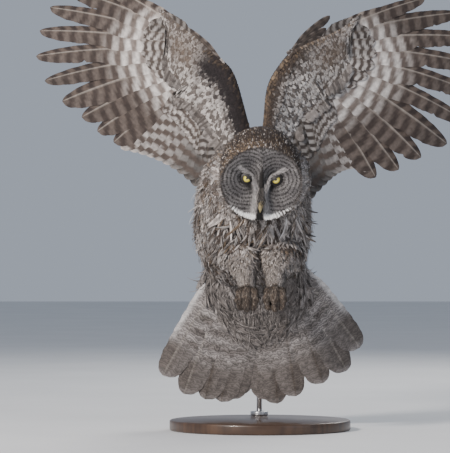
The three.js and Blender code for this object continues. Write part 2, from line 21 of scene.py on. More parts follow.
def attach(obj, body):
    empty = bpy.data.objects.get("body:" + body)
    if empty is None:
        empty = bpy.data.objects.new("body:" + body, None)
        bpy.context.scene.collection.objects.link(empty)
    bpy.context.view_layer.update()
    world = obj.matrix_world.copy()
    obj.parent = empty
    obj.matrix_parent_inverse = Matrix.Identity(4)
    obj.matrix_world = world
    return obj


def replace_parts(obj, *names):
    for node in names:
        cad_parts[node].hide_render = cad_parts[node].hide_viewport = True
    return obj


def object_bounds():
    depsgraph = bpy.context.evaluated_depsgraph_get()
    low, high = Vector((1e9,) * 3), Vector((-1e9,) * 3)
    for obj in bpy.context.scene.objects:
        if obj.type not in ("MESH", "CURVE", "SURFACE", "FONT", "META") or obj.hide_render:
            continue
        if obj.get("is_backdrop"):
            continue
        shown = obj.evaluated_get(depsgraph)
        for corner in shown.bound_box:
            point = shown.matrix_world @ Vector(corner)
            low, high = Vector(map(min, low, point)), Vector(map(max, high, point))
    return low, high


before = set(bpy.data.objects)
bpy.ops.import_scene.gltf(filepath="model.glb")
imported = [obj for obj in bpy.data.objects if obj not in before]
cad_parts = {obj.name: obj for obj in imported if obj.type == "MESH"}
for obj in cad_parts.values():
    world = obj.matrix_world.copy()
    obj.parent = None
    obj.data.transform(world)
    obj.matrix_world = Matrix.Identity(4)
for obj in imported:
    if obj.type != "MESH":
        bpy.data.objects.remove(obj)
CAD_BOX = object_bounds()
MM = 0.001
DEGREE = math.pi / 180
LOG = logging.getLogger("owl")
Array = np.ndarray
Surface = Callable[[Array, Array], Array]
Colour = tuple[float, float, float]
Pair = tuple[float, float]
Paint = dict[str, Array]
Strength = Array | float | Pair
Socket = bpy.types.NodeSocket
Feeds = dict[int | str, Socket | float | Sequence[float]]


class Side(Enum):
    """The bird's own sides, with the sign of their X."""

    RIGHT = -1
    LEFT = 1

    @property
    def word(self) -> str:
        """The side's name as the nodes spell it."""
        return self.name.lower()


def mix(a: Array, b: Array, t: Array) -> Array:
    """Blend from a to b by t."""
    return a + (b - a) * t


def smooth(low: float, high: float, x: Array) -> Array:
    """Ramp softly from 0 at low to 1 at high."""
    t = np.clip((x - low) / (high - low), 0.0, 1.0)
    return t * t * (3 - 2 * t)


def bell(distance: Array, spread: float) -> Array:
    """Bell curve of a distance."""
    return np.exp(-(distance * distance) / (2 * spread * spread))


def unit(v: Array) -> Array:
    """Rows of v at length one."""
    return v / np.maximum(np.linalg.norm(v, axis=-1, keepdims=True), 1e-9)


def lit(colour: Sequence[float], strength: float = 1.0) -> Array:
    """A colour at a strength."""
    return np.array(colour, float) * strength


def toned(ground: Array | Colour, colour: Array | Colour, share: Array) -> Array:
    """Rows of a ground colour with a share of another colour over them."""
    return mix(np.asarray(ground, float), np.asarray(colour, float), np.asarray(share)[:, None])


def spline(points: Array, t: Array) -> Array:
    """Uniform Catmull-Rom curve through points.

    Args:
        points: One point a row.
        t: Places along the curve, 0 to 1.

    Returns:
        One row for each t.
    """
    points = np.asarray(points, float)
    last = len(points) - 1
    run = np.clip(t, 0, 1) * last
    base = np.minimum(run.astype(int), last - 1)
    w = (run - base)[:, None]
    p0, p1 = points[np.maximum(base - 1, 0)], points[base]
    p2, p3 = points[base + 1], points[np.minimum(base + 2, last)]
    return 0.5 * (
        2 * p1 + (p2 - p0) * w + (2 * p0 - 5 * p1 + 4 * p2 - p3) * w**2
        + (3 * p1 - p0 - 3 * p2 + p3) * w**3
    )


def wave_noise(p: Array, scale: float, seed: int = 0) -> Array:
    """Smooth noise from a few crossed waves, about -1 to 1.

    Args:
        p: Places, one a row, in millimetres.
        scale: Size of one blot in millimetres.
        seed: Picks another pattern.

    Returns:
        One value a row.
    """
    rng = np.random.default_rng(seed + 11)
    total = np.zeros(len(p))
    for _ in range(6):
        way = rng.normal(size=3)
        way /= np.linalg.norm(way)
        total += np.sin(p @ way * (2 * math.pi / (scale * rng.uniform(0.7, 1.6))) + rng.uniform(0, 6.3))
    return total / 3.2


@dataclass(frozen=True)
class Station:
    """One section of a rounded body: middle, half width and half depth, in millimetres."""

    at: tuple[float, float, float]
    wide: float
    deep: float


@dataclass
class Tube:
    """Rounded body through stations, as the solid of the same name is, drawn in by the coat's depth.

    Attributes:
        stations: Sections from the start of the lie of the coat to its end.
        coat: Depth of the coat that covers the body, in millimetres.
        least: Smallest half width that is left, in millimetres.
    """

    stations: Sequence[Station]
    coat: float = 0.0
    least: float = 0.4

    def at(self, u: Array, v: Array) -> Array:
        """Points of the body's surface.

        Args:
            u: Share round the body.
            v: Share along it.

        Returns:
            One point a row.
        """
        path = np.array([s.at for s in self.stations])
        sizes = np.array([(s.wide, s.deep) for s in self.stations])
        step = 0.004
        along = unit(spline(path, v + step) - spline(path, v - step))
        size = np.maximum(spline(sizes, v) - self.coat, self.least)
        depth = unit(np.cross(along, [1.0, 0.0, 0.0]))
        width = unit(np.cross(depth, along))
        angle = 2 * math.pi * u
        return spline(path, v) + width * (size[:, :1] * np.cos(angle)[:, None]) \
            + depth * (size[:, 1:] * np.sin(angle)[:, None])


def ring_quads(across: int, along: int) -> list[tuple[int, ...]]:
    """Faces between rings of points.

    Args:
        across: Points in a ring.
        along: Steps from the first ring to the last.

    Returns:
        The corners of each face.
    """
    faces = []
    for k in range(along):
        for i in range(across):
            a = k * across + i
            b = k * across + (i + 1) % across
            faces.append((a, b, b + across, a + across))
    return faces


def grid_mesh(surface: Surface, across: int, along: int) -> tuple[Array, list]:
    """Closed mesh over a surface that goes round in u, with each end closed by a fan.

    Args:
        surface: Function from shares (u, v) to points.
        across: Points round.
        along: Steps along.

    Returns:
        Points and faces.
    """
    u, v = np.meshgrid(np.arange(across) / across, np.linspace(0, 1, along + 1))
    points = surface(u.ravel(), v.ravel())
    faces = ring_quads(across, along)
    for k, flip in ((0, True), (along, False)):
        hub = len(points)
        ring = range(k * across, (k + 1) * across)
        points = np.vstack([points, points[list(ring)].mean(axis=0)])
        for a, b in zip(ring, (*ring[1:], ring[0])):
            faces.append((b, a, hub) if flip else (a, b, hub))
    return points, faces


# The body's sections


@dataclass(frozen=True)
class BodyPlan:
    """Sections of the trunk, neck, legs and rump in millimetres, coat included."""

    trunk: tuple[Station, ...] = (
        Station((-4, -136, 568), 62, 40), Station((-8, -118, 542), 106, 80),
        Station((-13, -93, 500), 122, 97), Station((-16, -66, 455), 128, 101),
        Station((-16, -40, 412), 128, 97), Station((-12, -16, 370), 119, 82),
        Station((-10, 0, 336), 104, 58), Station((-8, 8, 312), 66, 30),
    )
    neck: tuple[Station, ...] = (
        Station((-2, -182, 526), 94, 92), Station((-3, -150, 527), 106, 97),
        Station((-5, -118, 528), 112, 92), Station((-6, -86, 528), 84, 70),
    )
    thigh: tuple[Station, ...] = (
        Station((44, -66, 392), 34, 38), Station((42, -98, 376), 42, 42),
        Station((36, -132, 354), 33, 33), Station((32, -152, 338), 26, 26),
    )
    tarsus: tuple[Station, ...] = (
        Station((34, -140, 348), 24, 24), Station((31, -160, 330), 25, 24),
        Station((29, -178, 311), 21, 20), Station((28, -190, 297), 17, 16),
    )
    palm: tuple[Station, ...] = (
        Station((0, -182, 303), 12, 11), Station((0, -192, 290), 19, 14),
        Station((0, -194, 274), 16, 12), Station((0, -190, 264), 8, 6),
    )
    rump: tuple[Station, ...] = (
        Station((-8, 2, 350), 102, 42), Station((-8, 14, 318), 109, 34),
        Station((-6, 28, 282), 104, 23), Station((-2, 42, 236), 84, 11),
        Station((2, 52, 204), 50, 4),
    )

    def turned(self, stations: Sequence[Station], side: Side) -> tuple[Station, ...]:
        """The same stations on one side of the body."""
        return tuple(Station((side.value * s.at[0], s.at[1], s.at[2]), s.wide, s.deep) for s in stations)


@dataclass(frozen=True)
class HeadPlan:
    """The head in its own axes (right, forward, up) in millimetres, and how it's turned."""

    middle: tuple[float, float, float] = (-2, -178, 532)
    pitch: float = 12
    yaw: float = 3
    roll: float = 2.5
    skull: tuple[tuple[float, float, float, float], ...] = (
        (50, 84, 82, -2), (32, 88, 93, 3), (8, 89, 98, 7), (-20, 85, 93, 9),
        (-52, 68, 74, 11), (-74, 42, 46, 12), (-84, 12, 14, 12),
    )
    wide: float = 79
    high: float = 71
    face_middle: float = -5
    face_forward: float = 58
    face_share: float = 0.45
    rim: float = 5
    dish: float = 9
    dish_spread: float = 17
    ridge: float = 11
    ridge_half: float = 9
    ridge_middle: float = -24
    ridge_spread: float = 34
    eye_apart: float = 59
    eye_up: float = 3
    crown_coat: float = 7
    face_coat: float = 2.5

    def turn(self) -> Array:
        """Rotation from the head's axes, forward taken as -Y, to the model's.

        Returns:
            The matrix.
        """
        a, b, c = self.pitch * DEGREE, self.roll * DEGREE, self.yaw * DEGREE
        about_x = np.array([[1, 0, 0], [0, math.cos(a), -math.sin(a)], [0, math.sin(a), math.cos(a)]])
        about_y = np.array([[math.cos(b), 0, math.sin(b)], [0, 1, 0], [-math.sin(b), 0, math.cos(b)]])
        about_z = np.array([[math.cos(c), -math.sin(c), 0], [math.sin(c), math.cos(c), 0], [0, 0, 1]])
        return about_z @ about_y @ about_x

    def place(self, points: Array) -> Array:
        """Move points given as (right, forward, up) to the model."""
        flat = np.stack([points[..., 0], -points[..., 1], points[..., 2]], axis=-1)
        return flat @ self.turn().T + np.array(self.middle)

    def local(self, points: Array) -> Array:
        """Move the model's points to the head's own axes."""
        flat = (points - np.array(self.middle)) @ self.turn()
        return np.stack([flat[:, 0], -flat[:, 1], flat[:, 2]], axis=-1)

    def outward(self) -> Array:
        """The way that the face looks."""
        return self.turn() @ np.array([0.0, -1.0, 0.0])

    def reach(self, right: Array, up: Array) -> Array:
        """Share of the way from the face's middle to its rim."""
        return np.hypot(right / self.wide, (up - self.face_middle) / self.high)

    def forward(self, right: Array, up: Array) -> Array:
        """How far forward the face's feathers lie.

        Args:
            right: Place across the face.
            up: Place up the face.

        Returns:
            One distance for each place.
        """
        from_eye = np.hypot(np.abs(right) - self.eye_apart / 2, up - self.eye_up)
        ridge = self.ridge * bell(right, self.ridge_half) * bell(up - self.ridge_middle, self.ridge_spread)
        dish = self.dish * bell(from_eye, self.dish_spread)
        return self.face_forward + self.rim * self.reach(right, up)**2 - dish + ridge

    def crown(self, u: Array, v: Array) -> Array:
        """Points of the skull's outside.

        Args:
            u: Share round the head.
            v: Share from the face to the nape.

        Returns:
            One point a row.
        """
        sizes = spline(np.array(self.skull), v)
        angle = 2 * math.pi * u
        right = np.maximum(sizes[:, 1] - self.crown_coat, 1) * np.cos(angle)
        up = sizes[:, 3] + np.maximum(sizes[:, 2] - self.crown_coat, 1) * np.sin(angle)
        return self.place(np.stack([right, sizes[:, 0], up], axis=-1))

    def face(self, right: Array, up: Array) -> Array:
        """Points of the face's skin."""
        ahead = self.forward(right, up) - self.face_coat
        return self.place(np.stack([right, ahead, up], axis=-1))

    def shell(self, u: Array, v: Array) -> Array:
        """The head's whole closed skin.

        Args:
            u: Share round the head.
            v: Share from the face's middle over the rim to the nape.

        Returns:
            One point a row.
        """
        out = np.zeros((len(u), 3))
        on_face = v < self.face_share
        share = np.clip(v / self.face_share, 0, 1)
        angle = 2 * math.pi * u
        right = (self.wide - 3) * share * np.cos(angle)
        up = self.face_middle + (self.high - 3) * share * np.sin(angle)
        out[on_face] = self.face(right[on_face], up[on_face])
        out[~on_face] = self.crown(u[~on_face], (v[~on_face] - self.face_share) / (1 - self.face_share))
        return out


@dataclass(frozen=True)
class WingPlan:
    """One wing laid out in (outward, up) millimetres, as the solid is.

    Attributes:
        side: Which wing.
        leading: Leading edge of the arm, from the root to the wrist.
        hand_edge: Leading edge of the hand, from the wrist to the tip.
        wrist: Where the primaries fan out from.
        elbow: Where the secondaries' roots turn.
        tips: Curve of the secondaries' tips.
        sweep: Slope of the wing backward, in degrees.
        first_angle: Direction of the outermost primary, in degrees.
        fan_step: Angle between primaries, in degrees.
        alula_root: Base of the alula.
        alula_angle: Its direction in degrees.
        alula_reach: Its length.
        front: Y of the leading edge.
        camber: Rise of the middle surface.
        camber_chord: Distance over which it rises and falls.
        reach: Length of each primary, the innermost first.
        thick_root: Half thickness of the flesh at the root.
        thick_wrist: The same at the wrist.
        thick_tip: The same at the tip.
        thick_edge: The same at the edges.
        arm_cover: Share of the arm's chord that is flesh.
        hand_cover: Share of the primaries that is flesh.
        lifted: How strongly the fingers bend back.
        lifted_reach: Scale of that bend.
        lifted_from: Where it starts, as a share of that scale.
        section: Crowding of the flesh towards the leading edge.
        bulge: Fullness of its section.
        least: Smallest half thickness that the coat leaves.
        flesh_share: Share of the flesh's chord that the skin covers.
    """

    side: Side
    leading: tuple[Pair, ...]
    hand_edge: tuple[Pair, ...]
    wrist: Pair
    elbow: Pair
    tips: tuple[Pair, ...]
    sweep: float
    first_angle: float
    fan_step: float
    alula_root: Pair
    alula_angle: float
    alula_reach: float
    front: float = -54
    camber: float = 14
    camber_chord: float = 300
    reach: tuple[float, ...] = (324, 347, 370, 406, 440, 455, 445, 425, 385, 322)
    thick_root: float = 17
    thick_wrist: float = 13
    thick_tip: float = 4
    thick_edge: float = 1.2
    arm_cover: float = 0.42
    hand_cover: float = 0.27
    lifted: float = 60
    lifted_reach: float = 400
    lifted_from: float = 0.45
    section: float = 1.6
    bulge: float = 2.1
    least: float = 0.6
    flesh_share: float = 0.96

    def edge_way(self) -> Array:
        """Direction from the wing's root to its wrist along the leading edge."""
        run = np.array(self.leading[-1]) - np.array(self.leading[0])
        return run / np.linalg.norm(run)

    def behind(self, q: Array) -> Array:
        """Distance of layout places behind the leading edge's line."""
        way, root = self.edge_way(), self.leading[0]
        return (q[..., 0] - root[0]) * way[1] - (q[..., 1] - root[1]) * way[0]

    def depth(self, q: Array) -> Array:
        """Y of the wing's middle surface.

        Args:
            q: Layout places.

        Returns:
            One Y for each place.
        """
        chord = self.behind(q)
        share = np.clip(chord / self.camber_chord, 0, 1)
        from_wrist = np.hypot(q[..., 0] - self.wrist[0], q[..., 1] - self.wrist[1])
        out = np.maximum(0, from_wrist / self.lifted_reach - self.lifted_from)
        return (self.front + math.tan(self.sweep * DEGREE) * chord
                + 4 * self.camber * share * (1 - share) + self.lifted * out**2)

    def place(self, q: Array, off: Array) -> Array:
        """Model points for layout places, moved off the middle surface by off along Y."""
        return np.stack([self.side.value * q[..., 0], self.depth(q) + off, q[..., 1]], axis=-1)

    def angle_of(self, number: Array) -> Array:
        """Direction of a primary, in degrees."""
        return self.first_angle - self.fan_step * (10 - number)

    def way(self, angle: Array) -> Array:
        """Layout direction for an angle in degrees."""
        return np.stack([np.cos(angle * DEGREE), np.sin(angle * DEGREE)], axis=-1)

    def shown_reach(self, number: Array) -> Array:
        """Length of a primary as it shows in the layout of the sloping wing.

        Args:
            number: Its number, 1 for the innermost.

        Returns:
            The length.
        """
        number = np.asarray(number, float)
        length = np.interp(number, np.arange(1, 11), self.reach)
        way, edge = self.way(self.angle_of(number)), self.edge_way()
        slope = way[..., 0] * edge[1] - way[..., 1] * edge[0]
        return length / np.hypot(1, slope * math.tan(self.sweep * DEGREE))

    def tip_line(self, t: Array) -> Array:
        """Places of the secondaries' tips.

        Args:
            t: Share from the wrist's side to the body's.

        Returns:
            One place for each share.
        """
        a, b, c = (np.array(p) for p in self.tips)
        t = np.asarray(t, float)[..., None]
        return (1 - t) ** 2 * a + 2 * t * (1 - t) * b + t**2 * c

    def lines(self, u: Array) -> tuple[Array, Array, Array]:
        """Leading line, cover edge and thickness at share u from the root to the wing's tip.

        Args:
            u: Share along the wing: 0 to 0.5 is the arm, 0.5 to 1 the hand.

        Returns:
            Leading places, trailing places and half thickness.
        """
        arm_u = np.clip(u * 2, 0, 1)
        hand_u = np.clip(u * 2 - 1, 0, 1)
        lead_arm = spline(np.array(self.leading), arm_u)
        tail_arm = mix(lead_arm, self.tip_line(1 - arm_u), self.arm_cover)
        lead_hand = spline(np.array(self.hand_edge), hand_u)
        number = mix(0.5, 10, hand_u)
        edge = np.array(self.wrist) + self.way(self.angle_of(number)) \
            * (self.hand_cover * self.shown_reach(number))[:, None]
        arm_end = mix(np.array([self.leading[-1]]), self.tip_line(np.zeros(1)), self.arm_cover)
        edge = mix(edge, arm_end, np.maximum(0, 1 - 5 * hand_u)[:, None])
        last = spline(np.array(self.hand_edge), np.ones(1))
        edge = mix(edge, last, (hand_u**4 * 0.6)[:, None])
        in_arm = u < 0.5
        thick = np.where(in_arm, mix(self.thick_root, self.thick_wrist, arm_u),
                         mix(self.thick_wrist, self.thick_tip, hand_u))
        in_arm = in_arm[:, None]
        return np.where(in_arm, lead_arm, lead_hand), np.where(in_arm, tail_arm, edge), thick

    def face_at(self, u: Array, v: Array, face: float, coat: float) -> Array:
        """Points of one face of the flesh.

        Args:
            u: Share along the wing.
            v: Share back from the leading edge.
            face: -1 for the underside, 1 for the upper side.
            coat: Depth of the feathers over it, in millimetres.

        Returns:
            One point a row.
        """
        lead, tail, thick = self.lines(u)
        share = v**self.section
        half = thick * np.sqrt(share) * (1 - share) * self.bulge + self.thick_edge - coat
        return self.place(mix(lead, tail, share[:, None]), face * np.maximum(half, self.least))

    def flesh(self, u: Array, v: Array, coat: float = 2.5) -> Array:
        """Closed skin of the flesh.

        Args:
            u: Share round its section.
            v: Share along the wing.
            coat: Depth of the feathers over it, in millimetres.

        Returns:
            One point a row.
        """
        under = u < 0.5
        back = np.clip(np.where(under, u * 2, 2 - u * 2), 0.0, 1) * self.flesh_share
        return np.where(under[:, None], self.face_at(v, back, -1, coat), self.face_at(v, back, 1, coat))


RIGHT_WING = WingPlan(
    side=Side.RIGHT,
    leading=((6, 586), (24, 641), (45, 718), (61, 756), (90, 784)),
    hand_edge=((90, 784), (142, 832), (184, 868), (216, 888)),
    wrist=(88, 765), elbow=(120, 655),
    tips=((296, 594), (182, 574), (88, 462)),
    sweep=33, first_angle=36, fan_step=7.9,
    alula_root=(84, 776), alula_angle=42, alula_reach=104,
)
LEFT_WING = WingPlan(
    side=Side.LEFT,
    leading=((0, 590), (6, 645), (15, 720), (42, 768), (71, 800)),
    hand_edge=((71, 800), (128, 826), (178, 852), (214, 874)),
    wrist=(68, 783), elbow=(98, 672),
    tips=((232, 545), (176, 574), (98, 470)),
    sweep=22, first_angle=24.5, fan_step=8.8,
    alula_root=(64, 792), alula_angle=43, alula_reach=112,
)


# Finishes


class Nodes:
    """A material's node tree, built one node a call."""

    def __init__(self, name: str) -> None:
        """Start a material with its principled shader.

        Args:
            name: The material's name.
        """
        self.material = bpy.data.materials.new(name)
        self.material.use_nodes = True
        self.tree = self.material.node_tree
        self.shader = self.tree.nodes["Principled BSDF"]

    def feed(self, node: bpy.types.Node, values: Feeds) -> None:
        """Set or link inputs of a node.

        Args:
            node: The node.
            values: Value or source socket of each input, by its name or number.
        """
        for key, value in values.items():
            if isinstance(value, Socket):
                self.tree.links.new(value, node.inputs[key])
            else:
                node.inputs[key].default_value = value

    def add(self, kind: str, values: Feeds, output: int | str = 0, **settings: str | bool) -> Socket:
        """Add a node.

        Args:
            kind: Its type, without the words ShaderNode.
            values: What its inputs take.
            output: Which output is given back.
            settings: The node's own settings.

        Returns:
            The output.
        """
        node = self.tree.nodes.new(f"ShaderNode{kind}")
        for key, value in settings.items():
            setattr(node, key, value)
        self.feed(node, values)
        return node.outputs[output]

    def math(self, operation: str, *values: float | Socket, clamp: bool = False) -> Socket:
        """Work out one sum on its values."""
        return self.add("Math", dict(enumerate(values)), operation=operation, use_clamp=clamp)

    def attribute(self, label: str) -> Socket:
        """The colour that a mesh's attribute holds."""
        return self.add("Attribute", {}, "Color", attribute_name=label)

    def noise(self, scale: float, detail: float, stretch: Sequence[float] | None = None) -> Socket:
        """Noise on Object coordinates.

        Args:
            scale: Number of blots a metre.
            detail: Steps of finer noise.
            stretch: Scale of each axis, where they differ.

        Returns:
            Its strength.
        """
        place = self.add("TexCoord", {}, "Object")
        if stretch is not None:
            place = self.add("Mapping", {"Scale": stretch, "Vector": place})
        return self.add("TexNoise", {"Scale": scale, "Detail": detail, "Vector": place}, "Fac")

    def tint(self, colour: Socket, strength: Socket) -> None:
        """Give the shader a colour scaled by a strength."""
        scaled = self.add("VectorMath", {0: colour, 3: strength}, operation="SCALE")
        self.feed(self.shader, {"Base Color": scaled})

    def bump(self, height: Socket, strength: float, distance: float) -> None:
        """Raise the shader's surface by a height."""
        normal = self.add("Bump", {"Strength": strength, "Distance": distance, "Height": height})
        self.feed(self.shader, {"Normal": normal})


@dataclass(frozen=True)
class Plumage:
    """Feather finish whose pale and dark colours and marks come from the mesh's attributes.

    Attributes:
        name: The material's name.
        grain: How strongly fine mottling shows.
        roughness: Roughness of the barbs.
        barbs: Number of barbs along one feather that the bump shows.
        bars: Number of cross bars along one feather.
        wander: How far the bars stray from straight, in radians.
        blot: Number of noise blots a metre.
    """

    name: str
    grain: float = 0.35
    roughness: float = 0.85
    barbs: float = 40
    bars: float = 3.5
    wander: float = 5
    blot: float = 420

    def material(self) -> bpy.types.Material:
        """Build the node tree.

        Returns:
            The material.
        """
        nodes = Nodes(self.name)
        sums = nodes.math
        nodes.feed(nodes.shader, {"Roughness": self.roughness, "Specular IOR Level": 0.25,
                                  "Sheen Weight": 0.04, "Sheen Roughness": 0.6})
        pale, dark, marks = (nodes.attribute(label) for label in ("pale", "dark", "marks"))
        streak, bars, end = nodes.add("SeparateColor", {0: marks}).node.outputs
        vane = nodes.add("SeparateXYZ", {0: nodes.add("UVMap", {}, uv_map="vane")}).node.outputs
        along = vane[1]
        across = sums("ABSOLUTE", sums("SUBTRACT", sums("MULTIPLY", vane[0], 2.0), 1.0))
        stray = sums("SUBTRACT", nodes.noise(self.blot, 3), 0.5)
        turns = sums("MULTIPLY", along, self.bars * 2 * math.pi)
        phase = sums("ADD", turns, sums("MULTIPLY", stray, self.wander))
        bar = sums("MULTIPLY", sums("ADD", sums("SINE", phase), 0.75), 0.8, clamp=True)
        shaft = sums("SUBTRACT", 1.25, sums("MULTIPLY", across, 2.6), clamp=True)
        tip = sums("MULTIPLY", sums("SUBTRACT", along, 0.55), 2.4, clamp=True)
        mark = sums("MAXIMUM", sums("MULTIPLY", bar, bars), sums("MULTIPLY", shaft, streak))
        mark = sums("MAXIMUM", mark, sums("MULTIPLY", tip, end))
        blend = nodes.add("Mix", {0: mark, 6: pale, 7: dark}, 2, data_type="RGBA")
        nodes.tint(blend, sums("ADD", sums("MULTIPLY", stray, self.grain * 2.4), 1.0))
        slant = sums("SUBTRACT", along, sums("MULTIPLY", across, 0.25))
        nodes.bump(sums("SINE", sums("MULTIPLY", slant, self.barbs * 2 * math.pi)), 0.35, 0.0004)
        return nodes.material


@dataclass(frozen=True)
class Grained:
    """Hard or bare finish: two colours mixed by noise, with bump, on Object coordinates."""

    name: str
    base: tuple[float, float, float]
    vein: tuple[float, float, float]
    roughness: float = 0.4
    scale: float = 200
    stretch: tuple[float, float, float] = (1, 1, 1)
    bump: float = 0.2
    metallic: float = 0.0
    coat: float = 0.0

    def material(self) -> bpy.types.Material:
        """Build the node tree.

        Returns:
            The material.
        """
        nodes = Nodes(self.name)
        noise = nodes.noise(self.scale, 6, self.stretch)
        ramp = nodes.add("ValToRGB", {0: noise})
        for stop, at, colour in zip(ramp.node.color_ramp.elements, (0.35, 0.7), (self.base, self.vein)):
            stop.position = at
            stop.color = (*colour, 1)
        rough = nodes.add("MapRange", {0: noise, "To Min": self.roughness * 0.8,
                                       "To Max": min(1.0, self.roughness * 1.25)})
        nodes.feed(nodes.shader, {"Metallic": self.metallic, "Coat Weight": self.coat,
                                  "Base Color": ramp, "Roughness": rough})
        nodes.bump(noise, self.bump, 0.0005)
        return nodes.material


@dataclass(frozen=True)
class Hide:
    """Skin finish: the coat's own colours from the mesh's attribute, mottled, with fine bumps."""

    name: str
    scale: float = 230
    grain: float = 0.7
    shade: float = 0.75

    def material(self) -> bpy.types.Material:
        """Build the node tree.

        Returns:
            The material.
        """
        nodes = Nodes(self.name)
        nodes.feed(nodes.shader, {"Roughness": 0.85})
        noise = nodes.noise(self.scale, 4)
        strength = nodes.math("MULTIPLY_ADD", noise, self.grain * 2, self.shade - self.grain)
        nodes.tint(nodes.attribute("pale"), strength)
        nodes.bump(noise, 0.4, 0.0005)
        return nodes.material


# Mesh making from arrays


def paint_points(mesh: bpy.types.Mesh, label: str, colours: Array) -> None:
    """Give each point of a mesh a colour, one a row."""
    rows = np.hstack([colours, np.ones((len(colours), 1))]).astype(np.float32)
    mesh.color_attributes.new(label, "FLOAT_COLOR", "POINT").data.foreach_set("color", rows.ravel())


def add_piece(name: str, mesh: bpy.types.Mesh, material: bpy.types.Material) -> bpy.types.Object:
    """Put a mesh into the scene as a piece with smooth faces.

    Args:
        name: The piece's name.
        mesh: Its mesh, in metres.
        material: Its finish.

    Returns:
        The piece, riding on the model's root.
    """
    mesh.materials.clear()
    mesh.materials.append(material)
    mesh.shade_smooth()
    obj = bpy.data.objects.new(name, mesh)
    bpy.context.scene.collection.objects.link(obj)
    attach(obj, "root")
    LOG.info("%s: %d faces", name, len(mesh.polygons))
    return obj


@dataclass
class Sheaf:
    """Arrays of one mesh of many feathers.

    Attributes:
        points: Its points, batch by batch.
        faces: Corners of its faces.
        layers: Colours, marks and UV places of the points, by the layer's name.
        seeds: Place and mean colour of each small feather's root.
        count: Number of points so far.
    """

    points: list[Array] = field(default_factory=list)
    faces: list[Array] = field(default_factory=list)
    layers: dict[str, list[Array]] = field(default_factory=dict)
    seeds: list[Array] = field(default_factory=list)
    count: int = 0

    def add(self, points: Array, faces: Array, **layers: Array) -> None:
        """Add one batch.

        Args:
            points: Its points.
            faces: Corners of its faces, counted from its own first point.
            layers: A row for each point: pale, dark, marks, OFBake and vane.
        """
        self.points.append(points)
        self.faces.append(faces + self.count)
        self.count += len(points)
        for label, rows in layers.items():
            self.layers.setdefault(label, []).append(rows)

    def build(self, name: str, material: bpy.types.Material) -> bpy.types.Object:
        """Make the mesh object.

        Args:
            name: The piece's name.
            material: Its finish.

        Returns:
            The piece.
        """
        points = np.vstack(self.points) * MM
        faces = np.vstack(self.faces)
        mesh = bpy.data.meshes.new(name)
        mesh.vertices.add(len(points))
        mesh.vertices.foreach_set("co", points.astype(np.float32).ravel())
        mesh.loops.add(faces.size)
        mesh.loops.foreach_set("vertex_index", faces.astype(np.int32).ravel())
        mesh.polygons.add(len(faces))
        mesh.polygons.foreach_set("loop_start", np.arange(0, faces.size, faces.shape[1], dtype=np.int32))
        mesh.update(calc_edges=True)
        for label in ("pale", "dark", "marks"):
            paint_points(mesh, label, np.vstack(self.layers[label]))
        for label in ("OFBake", "vane"):
            places = np.vstack(self.layers[label])[faces.ravel()]
            mesh.uv_layers.new(name=label).data.foreach_set("uv", places.astype(np.float32).ravel())
        return add_piece(name, mesh, material)


@dataclass
class Roots:
    """Where feathers grow: place, outward normal, lie and share of the region's unwrap."""

    place: Array
    normal: Array
    lie: Array
    share: Array

    def keep(self, mask: Array) -> "Roots":
        """The rows that a mask keeps."""
        return Roots(self.place[mask], self.normal[mask], self.lie[mask], self.share[mask])

    def __len__(self) -> int:
        """Number of roots."""
        return len(self.place)


def roots_on(surface: Surface, spacing: float, rng: np.random.Generator, wrap: bool = True,
             v_range: Pair = (0, 1)) -> Roots:
    """Staggered rows of roots over a surface, row by row along the lie of the coat.

    Args:
        surface: Function from shares (u, v) to points; v runs along the lie.
        spacing: Distance between roots in millimetres.
        rng: Seeded source of scatter.
        wrap: Whether u comes round to its start.
        v_range: Shares of v that are covered.

    Returns:
        The roots.
    """
    start, end = v_range
    probe = np.linspace(start, end, 60)
    runs = [np.linalg.norm(np.diff(surface(np.full(60, u), probe), axis=0), axis=1) for u in (0.5, 0.0)]
    length = np.concatenate([[0], np.cumsum(np.maximum(*runs))])
    rows = max(2, int(length[-1] / (spacing * 0.8)))
    row_v = np.interp(np.linspace(0, length[-1], rows), length, probe)
    us, vs = [], []
    ring = np.linspace(0, 1, 64)
    for k, v in enumerate(row_v):
        around = np.linalg.norm(np.diff(surface(ring, np.full(64, v)), axis=0), axis=1)
        total = np.concatenate([[0], np.cumsum(around)])
        count = max(3, int(total[-1] / spacing))
        ticks = (np.arange(count) + (0.5 if k % 2 else 0.0) + rng.uniform(-0.3, 0.3, count)) / count
        us.append(np.interp(np.mod(ticks, 1.0) * total[-1], total, ring))
        vs.append(np.full(count, v) + rng.uniform(-0.35, 0.35, count) * (row_v[-1] - row_v[0]) / rows)
    u = np.concatenate(us)
    v = np.clip(np.concatenate(vs), start + 1e-4, end - 1e-4)
    step = 2e-3
    after, before = ((np.mod(u + by, 1.0) if wrap else np.clip(u + by, 0, 1)) for by in (step, -step))
    by_u = surface(after, v) - surface(before, v)
    by_v = surface(u, np.clip(v + step, 0, 1)) - surface(u, np.clip(v - step, 0, 1))
    share = np.stack([u, (v - start) / (end - start)], axis=-1)
    return Roots(surface(u, v), unit(np.cross(by_u, by_v)), unit(by_v), share)


class Outline(Enum):
    """Outlines of small feathers: share along and share of full width at each pair of edge points."""

    ROUND = ((0, 0.45), (0.35, 0.95), (0.7, 0.9), (0.92, 0.5))
    THREAD = ((0, 0.7), (0.45, 0.9), (0.8, 0.5))
    HAIR = ((0, 0.7), (0.5, 0.9), (0.85, 0.5))
    PLUME = ((0, 0.6), (0.4, 0.8), (0.75, 0.5))
    FLAKE = ((0, 0.7), (0.6, 1))
    BLADE = ((0, 0.8), (0.6, 1))
    STRAP = ((0, 0.8), (0.6, 0.8))
    BRISTLE = ((0, 0.8), (0.6, 0.7))


